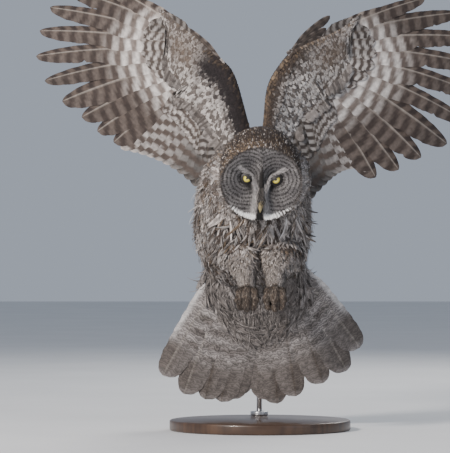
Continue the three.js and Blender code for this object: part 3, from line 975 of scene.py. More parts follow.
@dataclass
class Tufts:
    """Small feathers of one region.

    Attributes:
        length: Length of a feather in millimetres.
        width: Full width in millimetres.
        lift: Slope off the skin at the root, as rise over run.
        settle: How much of that slope is given back towards the tip.
        loose: Scatter of lie and lift.
        outline: The feather's outline.
        cup: Rise of the shaft over the edges, as a share of the width.
        patch: Size of one feather in the region's unwrap.
    """

    length: float
    width: float
    lift: float = 0.3
    settle: float = 0.55
    loose: float = 0.12
    outline: Outline = Outline.ROUND
    cup: float = 0.12
    patch: float = 0.003

    def grow(self, sheaf: Sheaf, roots: Roots, paint: Paint, rng: np.random.Generator,
             sizes: Array | None = None) -> None:
        """Add one feather at each root.

        Args:
            sheaf: Where the feathers go.
            roots: Where they grow.
            paint: "pale", "dark" and "marks", one row a root.
            rng: Seeded source of scatter.
            sizes: Scale of each feather.
        """
        n = len(roots)
        if n == 0:
            return
        scale = (np.ones(n) if sizes is None else sizes) * rng.uniform(0.85, 1.15, n)
        lie = unit(roots.lie + rng.normal(0, self.loose, (n, 3)))
        lie = unit(lie - roots.normal * np.sum(lie * roots.normal, axis=1, keepdims=True))
        side = unit(np.cross(roots.normal, lie))
        lift = self.lift * rng.uniform(0.7, 1.3, n)
        sway = rng.normal(0, self.loose * 0.8, n)
        columns, vane_rows = [], []
        for t, w in self.outline.value:
            half = side * (self.width * scale * w * 0.5)[:, None]
            ridge = roots.normal * (self.width * scale * self.cup)[:, None]
            middle = self.shaft(roots, lie, side, scale, lift, sway, t)
            columns += [middle - half, middle + ridge, middle + half]
            vane_rows += [(0.5 - 0.5 * w, t), (0.5, t), (0.5 + 0.5 * w, t)]
        columns.append(self.shaft(roots, lie, side, scale, lift, sway, 1.0))
        vane_rows.append((0.5, 1.0))
        per = len(columns)
        faces = []
        for a in range(0, per - 4, 3):
            faces += [(a, a + 1, a + 4), (a, a + 4, a + 3), (a + 1, a + 2, a + 5), (a + 1, a + 5, a + 4)]
        faces += [(per - 4, per - 3, per - 1), (per - 3, per - 2, per - 1)]
        start = (np.arange(n) * per)[:, None, None]
        local = (np.array(vane_rows) - 0.5) * self.patch
        bake = np.clip(((0.004 + roots.share * 0.992)[:, None, :] + local[None]).reshape(-1, 2), 0, 1)
        worn = mix(paint["pale"], paint["dark"], paint["marks"].mean(axis=1)[:, None])
        sheaf.seeds.append(np.hstack([roots.place, worn]))
        sheaf.add(np.stack(columns, axis=1).reshape(-1, 3), (start + np.array(faces)[None]).reshape(-1, 3),
                  **{label: np.repeat(rows, per, axis=0) for label, rows in paint.items()},
                  OFBake=bake, vane=np.tile(np.array(vane_rows), (n, 1)))

    def shaft(self, roots: Roots, lie: Array, side: Array, scale: Array, lift: Array, sway: Array,
              t: float) -> Array:
        """Places on the feathers' shafts.

        Args:
            roots: Where the feathers grow.
            lie: Way that each one lies.
            side: Way across each one.
            scale: Scale of each one.
            lift: Slope of each one off the skin.
            sway: Bend of each one to the side.
            t: Share along the feather.

        Returns:
            One place a feather.
        """
        reach = self.length * scale
        return roots.place + lie * (reach * t)[:, None] \
            + roots.normal * (reach * lift * t * (1 - self.settle * t))[:, None] \
            + side * (reach * sway * t * t)[:, None]


# Markings, shared by skin and coat. Colours are linear


@dataclass(frozen=True)
class Markings:
    """The species' colours and where they lie."""

    white: Colour = (0.88, 0.87, 0.86)
    pale: Colour = (0.40, 0.365, 0.345)
    mid: Colour = (0.17, 0.15, 0.14)
    dark: Colour = (0.035, 0.028, 0.025)
    black: Colour = (0.010, 0.009, 0.009)
    brown: Colour = (0.062, 0.044, 0.034)
    tan: Colour = (0.27, 0.19, 0.12)
    buff: Colour = (0.25, 0.215, 0.185)
    brow: tuple[tuple[float, float], ...] = (
        (43, 24), (30, 14), (18, 4), (10.5, -18), (11.5, -33), (13.5, -47), (17, -68))
    ring_spacing: float = 7.0

    def dress(self, pale: Array, dark: Array, streak: Strength, bars: Strength, tip: Strength,
              rng: np.random.Generator, vary: float) -> Paint:
        """Put colours and marks together, each feather a little lighter or darker.

        A strength is one number, one for each feather, or the lowest and the highest that are drawn.

        Args:
            pale: Ground colour of each feather.
            dark: Colour of its marks.
            streak: Strength of the shaft streak.
            bars: Strength of the cross bars.
            tip: Strength of the dark tip.
            rng: Seeded source of scatter.
            vary: Spread of the lightness.

        Returns:
            The paint for Tufts.grow.
        """
        n = len(pale)
        drawn = [rng.uniform(*mark, n) if isinstance(mark, tuple) else mark for mark in (streak, bars, tip)]
        shade = np.exp(rng.normal(0, vary, n))[:, None]
        marks = np.stack(np.broadcast_arrays(*drawn), axis=-1)
        return {"pale": np.clip(pale * shade, 0, 0.9), "dark": np.clip(dark * shade, 0, 0.9),
                "marks": np.clip(marks, 0, 1)}

    def body(self, place: Array, front: Array, rng: np.random.Generator) -> Paint:
        """Trunk and neck: mottled grey with dark streaks in front, darker and barred behind.

        Args:
            place: The roots' places.
            front: How far each root is on the front.
            rng: Seeded source of scatter.

        Returns:
            The paint.
        """
        n = len(place)
        tall = wave_noise(place * np.array([1.0, 1.0, 0.3]), 17, 21)
        pale = toned(self.mid, lit(self.pale, 1.12), (0.65 + 0.4 * wave_noise(place, 40, 3)).clip(0, 1))
        pale = toned(pale, self.brown, smooth(-0.05, 0.45, tall) * 0.92)
        pale = toned(pale, lit(self.mid, 0.7), 0.75 * (1 - front))
        pick = rng.uniform(0, 1, n)
        pale = toned(pale, self.tan, smooth(0.84, 0.95, pick) * 0.5)
        pale = toned(pale, lit(self.white, 0.8), smooth(0.13, 0.03, pick) * front * 0.35)
        streak = np.where(rng.uniform(0, 1, n) < 0.5, rng.uniform(0.6, 1.0, n), 0.1)
        return self.dress(pale, lit(self.dark), streak, (0.1, 0.8), (0, 0.3), rng, 0.28)

    def legs(self, place: Array, rng: np.random.Generator) -> Paint:
        """Thighs and tarsi: buff grey with fine bars.

        Args:
            place: The roots' places.
            rng: Seeded source of scatter.

        Returns:
            The paint.
        """
        n = len(place)
        pale = toned(self.buff, self.pale, rng.uniform(0, 1, n))
        blot = wave_noise(place * np.array([1.0, 1.0, 0.4]), 8, 4)
        pale = pale * (1 - 0.45 * smooth(0.0, 0.7, blot))[:, None]
        return self.dress(pale, lit(self.dark, 1.4), (0, 0.4), (0.1, 0.9), 0, rng, 0.28)

    def toes(self, place: Array, rng: np.random.Generator) -> Paint:
        """Toes: olive brown with paler tips of the feathering.

        Args:
            place: The roots' places.
            rng: Seeded source of scatter.

        Returns:
            The paint.
        """
        n = len(place)
        ground = toned((0.075, 0.053, 0.038), self.buff, rng.uniform(0, 1, n) ** 3)
        ground = toned(ground, self.dark, smooth(0.1, 0.6, wave_noise(place, 6, 9)) * 0.85)
        return self.dress(ground, lit(self.dark), (0, 0.6), 0.2, 0, rng, 0.3)

    def crown(self, local: Array, rng: np.random.Generator) -> Paint:
        """Crown and nape: dark brown with pale and tan flecks, tan at the disc's rim.

        Args:
            local: Places in the head's own axes (right, forward, up).
            rng: Seeded source of scatter.

        Returns:
            The paint.
        """
        n = len(local)
        right, ahead, up = local.T
        fleck = rng.uniform(0, 1, n)
        patch = wave_noise(local, 6, 31)
        flecked = smooth(0.70, 0.88, fleck + 0.2 * patch) * 0.8
        ground = toned((0.022, 0.016, 0.014), lit(self.tan, 0.75), flecked)
        ground = toned(ground, lit(self.pale, 1.25), smooth(0.90, 0.94, fleck + 0.06 * patch))
        rim_tan = smooth(30, 50, ahead) * smooth(-45, 5, up) * mix(0.25, 1.0, smooth(10, -45, right))
        ground = toned(ground, self.tan, rim_tan * rng.uniform(0, 1, n) ** 3)
        cheek = lit(self.mid) * rng.uniform(0.4, 2.0, n)[:, None]
        ground = toned(ground, cheek, smooth(10, -50, up) * 0.75)
        top = smooth(60, 90, up) * smooth(40, 0, np.abs(right))
        ground = toned(ground, self.dark, top * 0.45)
        return self.dress(ground, lit(self.dark), (0, 0.4), (0, 0.7), (0, 0.5), rng, 0.25)

    def face(self, right: Array, up: Array, head: HeadPlan, rng: np.random.Generator) -> Paint:
        """Facial disc: rings round each eye, pale brows, dark middle line, black bib, white moustache, and
        painted shade low on each wheel.

        Args:
            right: Place across the face in the head's own axes.
            up: Place up the face.
            head: The head's plan.
            rng: Seeded source of scatter.

        Returns:
            The paint.
        """
        n = len(right)
        x = np.abs(right)
        dx = x - head.eye_apart / 2
        dy = up - head.eye_up
        d = np.hypot(dx * np.where(dx > 0, 0.97, 1.08), dy)
        flat = np.stack([right, up, up * 0], axis=-1)
        wobble = wave_noise(flat, 16, 5) * 0.8
        ring = 0.5 + 0.5 * np.cos(2 * math.pi * (d + wobble - 1.5) / self.ring_spacing)
        ring = smooth(0.52, 0.90, ring + rng.uniform(-0.05, 0.05, n))
        light = toned((0.12, 0.113, 0.115), (0.26, 0.245, 0.24),
                      (0.5 + 0.5 * wave_noise(flat, 30, 6)).clip(0, 1) * rng.uniform(0.4, 1, n))
        ground = toned(light, (0.022, 0.019, 0.019), ring * 0.9)
        # Painted shade: the lower, outer part of each wheel is darkened
        ground = toned(ground, ground * 0.6, smooth(5, -25, up) * smooth(8, 22, x) * 0.35)
        # Dark line down the forehead, wider between the brows
        half = 1.6 + 5.2 * smooth(34, 0, up) * smooth(-44, -20, up)
        line = smooth(1.25, 0.7, x / half) * smooth(62, 48, up) * smooth(-46, -36, up)
        ground = toned(ground, (0.020, 0.017, 0.016), line * 0.95)
        # Black between the eye and the bill, and a thin dark edge round the eye
        patch = bell(np.hypot((dx + 7.5) * 0.85, (dy + 7) * 0.62), 6.4)
        patch = np.maximum(patch, smooth(14.5, 11.5, d) * 0.8)
        ground = toned(ground, self.black, np.clip(patch * 1.5, 0, 1))
        # Pale brows cross between the eyes and run down beside the bill
        brow = bell(self.off_brow(x, up), mix(2.6, 4.2, smooth(14, -20, up)))
        brow_colour = lit((0.33, 0.315, 0.31)) * rng.uniform(0.6, 1.2, n)[:, None]
        ground = toned(ground, brow_colour, np.clip(brow * 1.25 - 0.12, 0, 0.92))
        # White moustache either side of the black bib, broken into ticks outward
        reach = head.reach(right, up)
        low = np.arctan2(x, -(up - head.face_middle)) / DEGREE
        inner = 0.83 + 0.0021 * low
        tache = smooth(inner - 0.03, inner + 0.03, reach + 0.02 * wave_noise(flat, 5, 14))
        tache = tache * smooth(7, 10, low) * smooth(np.where(right > 0, 66, 58), 46, low)
        gaps = smooth(0.0, 0.5, np.sin(low * 1.25 + 2 * reach)) * smooth(np.where(right > 0, 20, 36), 44, low)
        ground = toned(ground, self.white, tache * (1 - gaps))
        ground = toned(ground, self.dark, tache * gaps)
        rim = smooth(0.925, 0.965, reach) * (1 - tache)
        ground = toned(ground, self.dark, rim * rng.uniform(0.4, 1.0, n))
        bib = smooth(1.2, 0.85, x / (7.0 + 3.0 * smooth(-66, -78, up))) * smooth(-50, -56, up)
        ground = toned(ground, self.black, bib)
        return self.dress(ground, ground * 0.45, (0, 0.3), 0, 0, rng, 0.16)

    def off_brow(self, x: Array, up: Array) -> Array:
        """Distance from the line of the pale brow.

        Args:
            x: Distance from the face's middle line.
            up: Place up the face.

        Returns:
            One distance for each place.
        """
        away = np.full(len(x), np.inf)
        for (ax, ay), (bx, by) in zip(self.brow[:-1], self.brow[1:]):
            run = np.array([bx - ax, by - ay])
            t = np.clip(((x - ax) * run[0] + (up - ay) * run[1]) / (run @ run), 0, 1)
            away = np.minimum(away, np.hypot(x - ax - t * run[0], up - ay - t * run[1]))
        return away

    def bristles(self, x: Array, rng: np.random.Generator) -> Paint:
        """Bristles over the bill's root: dark in the middle, grey at the sides.

        Args:
            x: Place across the face.
            rng: Seeded source of scatter.

        Returns:
            The paint.
        """
        ground = toned((0.05, 0.044, 0.04), (0.32, 0.30, 0.29), smooth(2.5, 7.5, np.abs(x)))
        return self.dress(ground, ground * 0.4, (0, 0.5), 0, 0, rng, 0.3)

    def under_coverts(self, u: Array, v: Array, place: Array, side: Side, rng: np.random.Generator) -> Paint:
        """Underwing coverts: wavy dark and pale bars, brown behind the wrist, dark leading edge, painted
        wider and darker on the right wing as painted shade.

        Args:
            u: Share along the wing.
            v: Share back from the leading edge.
            place: The roots' places.
            side: Which wing; on the right one the leading edge is painted wider and darker, and its tan rim
                dimmer, as painted shade.
            rng: Seeded source of scatter.

        Returns:
            The paint.
        """
        n = len(u)
        is_right = side is Side.RIGHT
        blot = 0.5 + 0.5 * wave_noise(place, 40, 12)
        ground = toned(lit(self.pale, 0.75), (0.56, 0.525, 0.50),
                       np.clip(smooth(0.15, 0.75, v) * 0.7 + 0.4 * blot, 0, 1))
        phase = 2 * math.pi * v * (12 + 5 * u) + 3.4 * wave_noise(place, 26, 18)
        wave = np.sin(phase + rng.uniform(-0.4, 0.4, n))
        ground = toned(ground, (0.065, 0.05, 0.043), smooth(-0.15, 0.35, wave) * 0.85)
        wrist = bell((u - 0.70) / 0.10, 1) * bell((v - 0.55) / 0.18, 1)
        ground = toned(ground, (0.11, 0.08, 0.06), np.clip(wrist * 0.8, 0, 0.7))
        # Dark leading edge; on the right wing it is painted wider and darker, as painted shade
        wide = 0.24 if is_right else 0.04
        ragged = v + rng.normal(0, 0.05, n)
        edge = smooth(0.50 + wide, 0.22 + wide, ragged) * smooth(0.66, 0.5, u)
        ground = toned(ground, (0.018, 0.014, 0.015) if is_right else (0.05, 0.038, 0.032), edge)
        # Tan rim at the leading edge, painted dimmer on the right wing as painted shade
        rim = smooth(0.30, 0.05, ragged) * rng.uniform(0.0, 1.0, n) ** 2
        ground = toned(ground, lit(self.tan, 0.5 if is_right else 1.0), rim * (0.5 if is_right else 0.75))
        dark = np.minimum(lit(self.dark, 1.6), ground * 0.4)
        return self.dress(ground, dark, (0, 0.3), (0.1, 0.5), 0, rng, 0.14)

    def upper_coverts(self, place: Array, v: Array, rng: np.random.Generator) -> Paint:
        """Upper wing: grey brown, mottled, darker towards the edge.

        Args:
            place: The roots' places.
            v: Share back from the leading edge.
            rng: Seeded source of scatter.

        Returns:
            The paint.
        """
        share = (0.4 + 0.4 * wave_noise(place, 30, 8)).clip(0, 1)
        ground = toned(lit(self.mid, 0.8), lit(self.pale, 0.75), share)
        ground = toned(ground, lit(self.dark, 1.4), smooth(0.2, 0.02, v) * 0.8)
        return self.dress(ground, lit(self.dark), (0.1, 0.8), (0.2, 0.9), 0, rng, 0.2)

    def wisps(self, n: int, rng: np.random.Generator) -> Paint:
        """Pale loose plumes of the flanks.

        Args:
            n: Number of feathers.
            rng: Seeded source of scatter.

        Returns:
            The paint.
        """
        ground = toned(self.mid, self.white, rng.uniform(0, 0.6, n))
        return self.dress(ground, ground * 0.4, (0, 0.4), (0, 0.5), 0, rng, 0.2)

    def brows(self, n: int, rng: np.random.Generator) -> Paint:
        """Long pale feathers over the upper lids.

        Args:
            n: Number of feathers.
            rng: Seeded source of scatter.

        Returns:
            The paint.
        """
        ground = np.tile(lit((0.34, 0.32, 0.315)), (n, 1))
        return self.dress(ground, ground * 0.4, (0, 0.4), 0, 0, rng, 0.3)

    def tail_coverts(self, place: Array, strength: float, rng: np.random.Generator) -> Paint:
        """Coverts of the tail: grey with strong bars.

        Args:
            place: The roots' places.
            strength: Lightness against the underside's.
            rng: Seeded source of scatter.

        Returns:
            The paint.
        """
        ground = toned(self.mid, (0.33, 0.30, 0.285), (0.5 + 0.5 * wave_noise(place, 30, 17)).clip(0, 1))
        ground = ground * strength
        return self.dress(ground, ground * 0.35, (0, 0.3), (0.5, 1), 0, rng, 0.22)


# Skin


@dataclass
class Skin:
    """One skin under the whole coat, made from the flesh's sections and merged."""

    body: BodyPlan
    head: HeadPlan
    voxel: float = 0.0028
    body_coat: float = 12
    rump_coat: float = 3
    leg_coat: float = 4
    toe_coat: float = 2

    def limbs(self) -> list[tuple[Array, list]]:
        """Closed skins of every fleshy part, still separate.

        Returns:
            Points and faces of each.
        """
        parts = [
            grid_mesh(Tube(self.body.trunk, self.body_coat).at, 48, 40),
            grid_mesh(Tube(self.body.neck, self.body_coat).at, 48, 14),
            grid_mesh(self.head.shell, 64, 60),
            grid_mesh(Tube(self.body.rump, self.rump_coat).at, 32, 16),
        ]
        for side in Side:
            for stations, across in ((self.body.thigh, 28), (self.body.tarsus, 24)):
                parts.append(grid_mesh(Tube(self.body.turned(stations, side), self.leg_coat).at, across, 12))
            foot = Foot(self.body, side)
            parts.append(grid_mesh(Tube(foot.palm(), self.toe_coat).at, 18, 8))
            parts += [grid_mesh(Tube(toe, self.toe_coat).at, 14, 14) for toe in foot.toes()]
        return parts + [grid_mesh(wing.flesh, 36, 48) for wing in (RIGHT_WING, LEFT_WING)]

    def build(self, material: bpy.types.Material) -> bpy.types.Object:
        """Merge the parts into one skin by a voxel remesh, and smooth it.

        Args:
            material: The skin's finish.

        Returns:
            The skin.
        """
        bm = bmesh.new()
        for points, faces in self.limbs():
            verts = [bm.verts.new(Vector(p) * MM) for p in points]
            for face in faces:
                bm.faces.new([verts[i] for i in face])
        bmesh.ops.recalc_face_normals(bm, faces=bm.faces)
        rough = bpy.data.meshes.new("skin_rough")
        bm.to_mesh(rough)
        bm.free()
        obj = bpy.data.objects.new("skin_rough", rough)
        bpy.context.scene.collection.objects.link(obj)
        remesh = obj.modifiers.new("merge", "REMESH")
        remesh.mode = "VOXEL"
        remesh.voxel_size = self.voxel
        relax = obj.modifiers.new("relax", "SMOOTH")
        relax.factor = 0.5
        relax.iterations = 3
        graph = bpy.context.evaluated_depsgraph_get()
        mesh = bpy.data.meshes.new_from_object(obj.evaluated_get(graph))
        bpy.data.objects.remove(obj)
        mesh.name = "skin"
        skin = add_piece("skin", mesh, material)
        return skin


@dataclass
class Foot:
    """Palm and toes of one foot, curled into a fist."""

    body: BodyPlan
    side: Side
    thick: float = 11.2
    end: float = 7
    joint: float = 0.1
    spread_base: float = 0.7
    spread_bulge: float = 0.45
    curl: float = 21
    start: float = 70
    turn: float = 140
    steps: int = 6
    front: tuple[Pair, ...] = ((-14.5, 0.94), (0.5, 1.06), (15, 0.92))
    knuckle: Pair = (-193, 279)
    hallux: Pair = (-12, 0.8)
    hallux_knuckle: Pair = (-182, 279)

    @property
    def middle(self) -> float:
        """X of the foot's middle."""
        return -28.6 if self.side is Side.RIGHT else 27.9

    def palm(self) -> tuple[Station, ...]:
        """The palm's stations."""
        return tuple(Station((self.middle, s.at[1], s.at[2]), s.wide, s.deep) for s in self.body.palm)

    def toes(self) -> list[tuple[Station, ...]]:
        """Stations of the three front toes and the hind toe."""
        front = [self.toe(across, scale, self.knuckle, 1) for across, scale in self.front]
        return [*front, self.toe(*self.hallux, self.hallux_knuckle, -1)]

    def toe(self, across: float, scale: float, knuckle: Pair, back: int) -> tuple[Station, ...]:
        """Stations round one toe's curl.

        Args:
            across: Place across the foot.
            scale: Size against the plain toe.
            knuckle: Y and Z of the curl's middle.
            back: 1 for a front toe, -1 for the hind toe.

        Returns:
            The stations.
        """
        stations = []
        for k in range(self.steps + 1):
            angle = (self.start - self.turn * k / self.steps) * DEGREE
            reach = self.curl * scale * (0.78 + 0.22 * math.cos(angle))
            thick = (self.thick + (self.end - self.thick) * k / self.steps) * scale
            thick *= 1 + self.joint * (1 if k % 2 else -1)
            spread = self.spread_base + self.spread_bulge * math.sin(math.pi * k / self.steps)
            stations.append(Station((
                self.middle + self.side.value * across * spread,
                knuckle[0] - back * reach * math.cos(angle),
                knuckle[1] + reach * 1.15 * math.sin(angle),
            ), thick, thick))
        return tuple(stations)


# Coat


@dataclass
class Coat:
    """All the small feathers, region by region.

    Attributes:
        skin: What they grow on.
        under: The skin's plan.
        marks: The colours.
        finish: Finish of the feathers.
        face_finish: Finish of the face's feathers.
        seed: Start of the scatter.
        buried: How deep under the skin a root may be, in millimetres.
        shared_by: Number of feathers that colour a point of the skin.
        seeds: Roots and colours of all the feathers.
        tree: The skin's faces, for the search for hidden roots.
    """

    skin: bpy.types.Object
    under: Skin
    marks: Markings
    finish: bpy.types.Material
    face_finish: bpy.types.Material
    seed: int = 7
    buried: float = 2.2
    shared_by: int = 4
    seeds: list[Array] = field(default_factory=list)
    tree: BVHTree = field(init=False)

    def __post_init__(self) -> None:
        """Index the skin's faces for the search for hidden roots."""
        bm = bmesh.new()
        bm.from_mesh(self.skin.data)
        self.tree = BVHTree.FromBMesh(bm)
        bm.free()

    def seated(self, roots: Roots, slack: float = 6.0) -> Roots:
        """Keep the roots that lie on the skin.

        Args:
            roots: Roots from a region's own surface.
            slack: How far a root may be off the skin, in millimetres.

        Returns:
            The kept roots, with their normals outward.
        """
        keep = np.zeros(len(roots), dtype=bool)
        normals = np.zeros((len(roots), 3))
        for i, p in enumerate(roots.place):
            place = Vector(p) * MM
            spot, normal, _, _ = self.tree.find_nearest(place, slack * MM)
            if spot is not None and (place - spot).dot(normal) >= -self.buried * MM:
                keep[i] = True
                normals[i] = normal
        facing = np.sum(normals * roots.normal, axis=1) < 0
        roots.normal[facing] *= -1
        return roots.keep(keep)

    def on_tube(self, stations: Sequence[Station], coat: float, spacing: float, rng: np.random.Generator,
                slack: float = 6.0, end: float = 1.0) -> Roots:
        """Roots on the skin over a rounded body.

        Args:
            stations: The body's sections.
            coat: Depth of the feathers over it, in millimetres.
            spacing: Distance between roots in millimetres.
            rng: Seeded source of scatter.
            slack: How far a root may be off the skin, in millimetres.
            end: Share of the body that is covered.

        Returns:
            The roots.
        """
        return self.seated(roots_on(Tube(stations, coat).at, spacing, rng, v_range=(0.0, end)), slack)

    def on_face(self, right: Array, up: Array, way: Array, normal: Array | None = None) -> Roots:
        """Roots on the face.

        Args:
            right: Place across it.
            up: Place up it.
            way: Way that the feathers lie, in the model.
            normal: Outward ways, where they aren't the face's own.

        Returns:
            The roots.
        """
        normal = np.tile(self.under.head.outward(), (len(right), 1)) if normal is None else normal
        share = np.stack([(right + 90) / 180, (up + 90) / 180], axis=-1)
        return Roots(self.under.head.face(right, up), normal, way, share)

    def finish_piece(self, sheaf: Sheaf, name: str) -> None:
        """Build a coat piece.

        Args:
            sheaf: Its feathers.
            name: Its name.
        """
        obj = sheaf.build(name, self.face_finish if name == "coat_face" else self.finish)
        self.seeds += sheaf.seeds

    def dye_skin(self) -> None:
        """Give every point of the skin the colour of the feathers rooted nearest to it."""
        seeds = np.vstack(self.seeds)
        tree = KDTree(len(seeds))
        for i, place in enumerate(seeds[:, :3]):
            tree.insert(place, i)
        tree.balance()
        near = [[index for _, index, _ in tree.find_n(vertex.co / MM, self.shared_by)]
                for vertex in self.skin.data.vertices]
        paint_points(self.skin.data, "pale", seeds[np.array(near), 3:].mean(axis=1))

    def trunk(self) -> None:
        """Breast, belly, flanks and back."""
        rng = np.random.default_rng(self.seed)
        roots = self.on_tube(self.under.body.trunk, self.under.body_coat, 6.6, rng)
        front = smooth(0.35, -0.35, roots.normal[:, 1])
        for name, pick in (("coat_breast", front > 0.5), ("coat_back", front <= 0.5)):
            part, ahead = roots.keep(pick), front[pick]
            sheaf = Sheaf()
            Tufts(27, 8.5, 0.30, 0.65, 0.2).grow(sheaf, part, self.marks.body(part.place, ahead, rng), rng)
            for _ in range(4):
                some = rng.uniform(0, 1, len(part)) < 0.95
                loose = part.keep(some)
                loose.place = loose.place + rng.normal(0, 3.0, loose.place.shape)
                paint = self.marks.body(loose.place, ahead[some], rng)
                Tufts(15, 1.9, 0.6, 0.6, 0.36, Outline.THREAD).grow(sheaf, loose, paint, rng)
            flank = (np.abs(part.normal[:, 0]) > 0.75) & (rng.uniform(0, 1, len(part)) < 0.04)
            wisps = part.keep(flank)
            paint = self.marks.wisps(len(wisps), rng)
            Tufts(34, 3.0, 0.6, 0.4, 0.36, Outline.PLUME).grow(sheaf, wisps, paint, rng)
            x, _, z = part.place.T
            low = (z > 392) & (z < 476) & (np.abs(x) < 82) & (part.normal[:, 1] < -0.4)
            fringe = part.keep(low)
            paint = self.marks.body(fringe.place, ahead[low], rng)
            Tufts(56, 5, 0.34, 0.5, 0.3).grow(sheaf, fringe, paint, rng)
            self.finish_piece(sheaf, name)

    def neck(self) -> None:
        """The ruff behind and under the face."""
        rng = np.random.default_rng(self.seed + 1)
        roots = self.on_tube(self.under.body.neck, self.under.body_coat, 5.0, rng)
        front = smooth(0.6, -0.6, roots.normal[:, 1] + 0.4 * (roots.normal[:, 2] > 0.5))
        sheaf = Sheaf()
        fine = Tufts(15, 1.7, 0.6, 0.5, 0.4, Outline.HAIR)
        for tufts in (Tufts(24, 6.5, 0.4, 0.55, 0.2), fine, fine):
            tufts.grow(sheaf, roots, self.marks.body(roots.place, front, rng), rng)
        self.finish_piece(sheaf, "coat_neck")

    def crown(self) -> None:
        """Crown, cheeks behind the disc's rim, and nape."""
        rng = np.random.default_rng(self.seed + 2)
        head = self.under.head
        roots = self.seated(roots_on(head.crown, 2.25, rng))
        local = head.local(roots.place)
        sheaf = Sheaf()
        sizes = mix(1.5, 0.85, smooth(-40, 20, local[:, 1]))
        paint = self.marks.crown(local, rng)
        Tufts(7.6, 2.3, 0.5, 0.45, 0.2, Outline.FLAKE).grow(sheaf, roots, paint, rng, sizes)
        self.ruff(sheaf, rng)
        self.finish_piece(sheaf, "coat_crown")

    def ruff(self, sheaf: Sheaf, rng: np.random.Generator) -> None:
        """Stiff feathers from the disc's rim back over the edge of the crown.

        Args:
            sheaf: Where the feathers go.
            rng: Seeded source of scatter.
        """
        head = self.under.head
        count = 5200
        angle = rng.uniform(0, 2 * math.pi, count)
        share = rng.uniform(0, 1, count)
        rim = head.face((head.wide - 1) * np.cos(angle), head.face_middle + (head.high - 1) * np.sin(angle))
        behind = head.crown(angle / (2 * math.pi), np.full(count, 0.04))
        place = mix(rim, behind, share[:, None])
        lie = unit(behind - rim)
        normal = unit(place - np.array(head.middle))
        normal = unit(normal - lie * np.sum(normal * lie, axis=1, keepdims=True))
        roots = Roots(place, normal, lie, np.stack([angle / (2 * math.pi), 0.05 * share], axis=-1))
        Tufts(8.5, 2.4, 0.4, 0.5, 0.22, Outline.BLADE).grow(
            sheaf, roots, self.marks.crown(head.local(place), rng), rng)

    def face(self) -> None:
        """The two wheels of the facial disc, its brows and the bristles round the bill."""
        rng = np.random.default_rng(self.seed + 3)
        head = self.under.head
        grid = np.arange(-90, 90, 1.36)
        right, up = (a.ravel() for a in np.meshgrid(grid, grid))
        right = right + rng.uniform(-0.8, 0.8, len(right))
        up = up + rng.uniform(-0.8, 0.8, len(up))
        from_eye = np.hypot(np.abs(right) - head.eye_apart / 2, up - head.eye_up)
        on_bill = (np.abs(right) < 6.5) & (up < -28) & (up > -58)
        keep = (head.reach(right, up) < 1.0) & (from_eye > 9.5) & ~on_bill
        right, up = right[keep], up[keep]
        sideways = (np.abs(right) - head.eye_apart / 2) * np.sign(right)
        way = unit(np.stack([sideways, up - head.eye_up], axis=-1))
        place = head.face(right, up)
        lie = unit(head.face(right + way[:, 0], up + way[:, 1]) - place)
        normal = unit(np.cross(lie, head.face(right - way[:, 1], up + way[:, 0]) - place))
        normal = np.where((normal @ head.outward())[:, None] < 0, -normal, normal)
        paint = self.marks.face(right, up, head, rng)
        sheaf = Sheaf()
        sizes = mix(0.75, 1.35, smooth(0.2, 1.0, head.reach(right, up)))
        Tufts(5.2, 1.6, 0.42, 0.35, 0.1, Outline.STRAP, cup=0.2).grow(
            sheaf, self.on_face(right, up, lie, normal), paint, rng, sizes)
        self.brows(sheaf, rng)
        self.bristles(sheaf, rng)
        self.finish_piece(sheaf, "coat_face")

    def brows(self, sheaf: Sheaf, rng: np.random.Generator) -> None:
        """Longer feathers that overhang the upper lids, from the bill up and outward.

        Args:
            sheaf: Where the feathers go.
            rng: Seeded source of scatter.
        """
        face = self.under.head.face
        line = np.array(self.marks.brow[:5])[::-1]
        count = 620
        t = rng.uniform(0, 1, count)
        at = spline(line, t)
        x = np.abs(at[:, 0] + rng.normal(0, 1.7, count))
        up = at[:, 1] + rng.normal(0, 1.7, count)
        right = x * np.where(rng.uniform(0, 1, count) < 0.5, -1, 1)
        way = unit(spline(line, np.minimum(t + 0.05, 1)) - spline(line, np.maximum(t - 0.05, 0)))
        way[:, 0] *= np.sign(right)
        lie = unit(face(right + way[:, 0], up + way[:, 1]) - face(right, up))
        Tufts(9.5, 1.8, 0.75, 0.35, 0.12, Outline.STRAP).grow(
            sheaf, self.on_face(right, up, lie), self.marks.brows(count, rng), rng)

    def bristles(self, sheaf: Sheaf, rng: np.random.Generator) -> None:
        """Bristles that hide the root of the bill.

        Args:
            sheaf: Where the feathers go.
            rng: Seeded source of scatter.
        """
        count = 900
        right = rng.normal(0, 5.2, count).clip(-11, 11)
        up = rng.uniform(-42, -12, count)
        way = np.stack([-0.045 * right, np.full(count, -0.3), np.full(count, -1.0)], axis=-1)
        lie = unit(way @ self.under.head.turn().T)
        sizes = mix(0.6, 1.1, smooth(-42, -22, up))
        Tufts(21, 1.5, 1.1, 0.42, 0.14, Outline.BRISTLE).grow(
            sheaf, self.on_face(right, up, lie), self.marks.bristles(right, rng), rng, sizes)

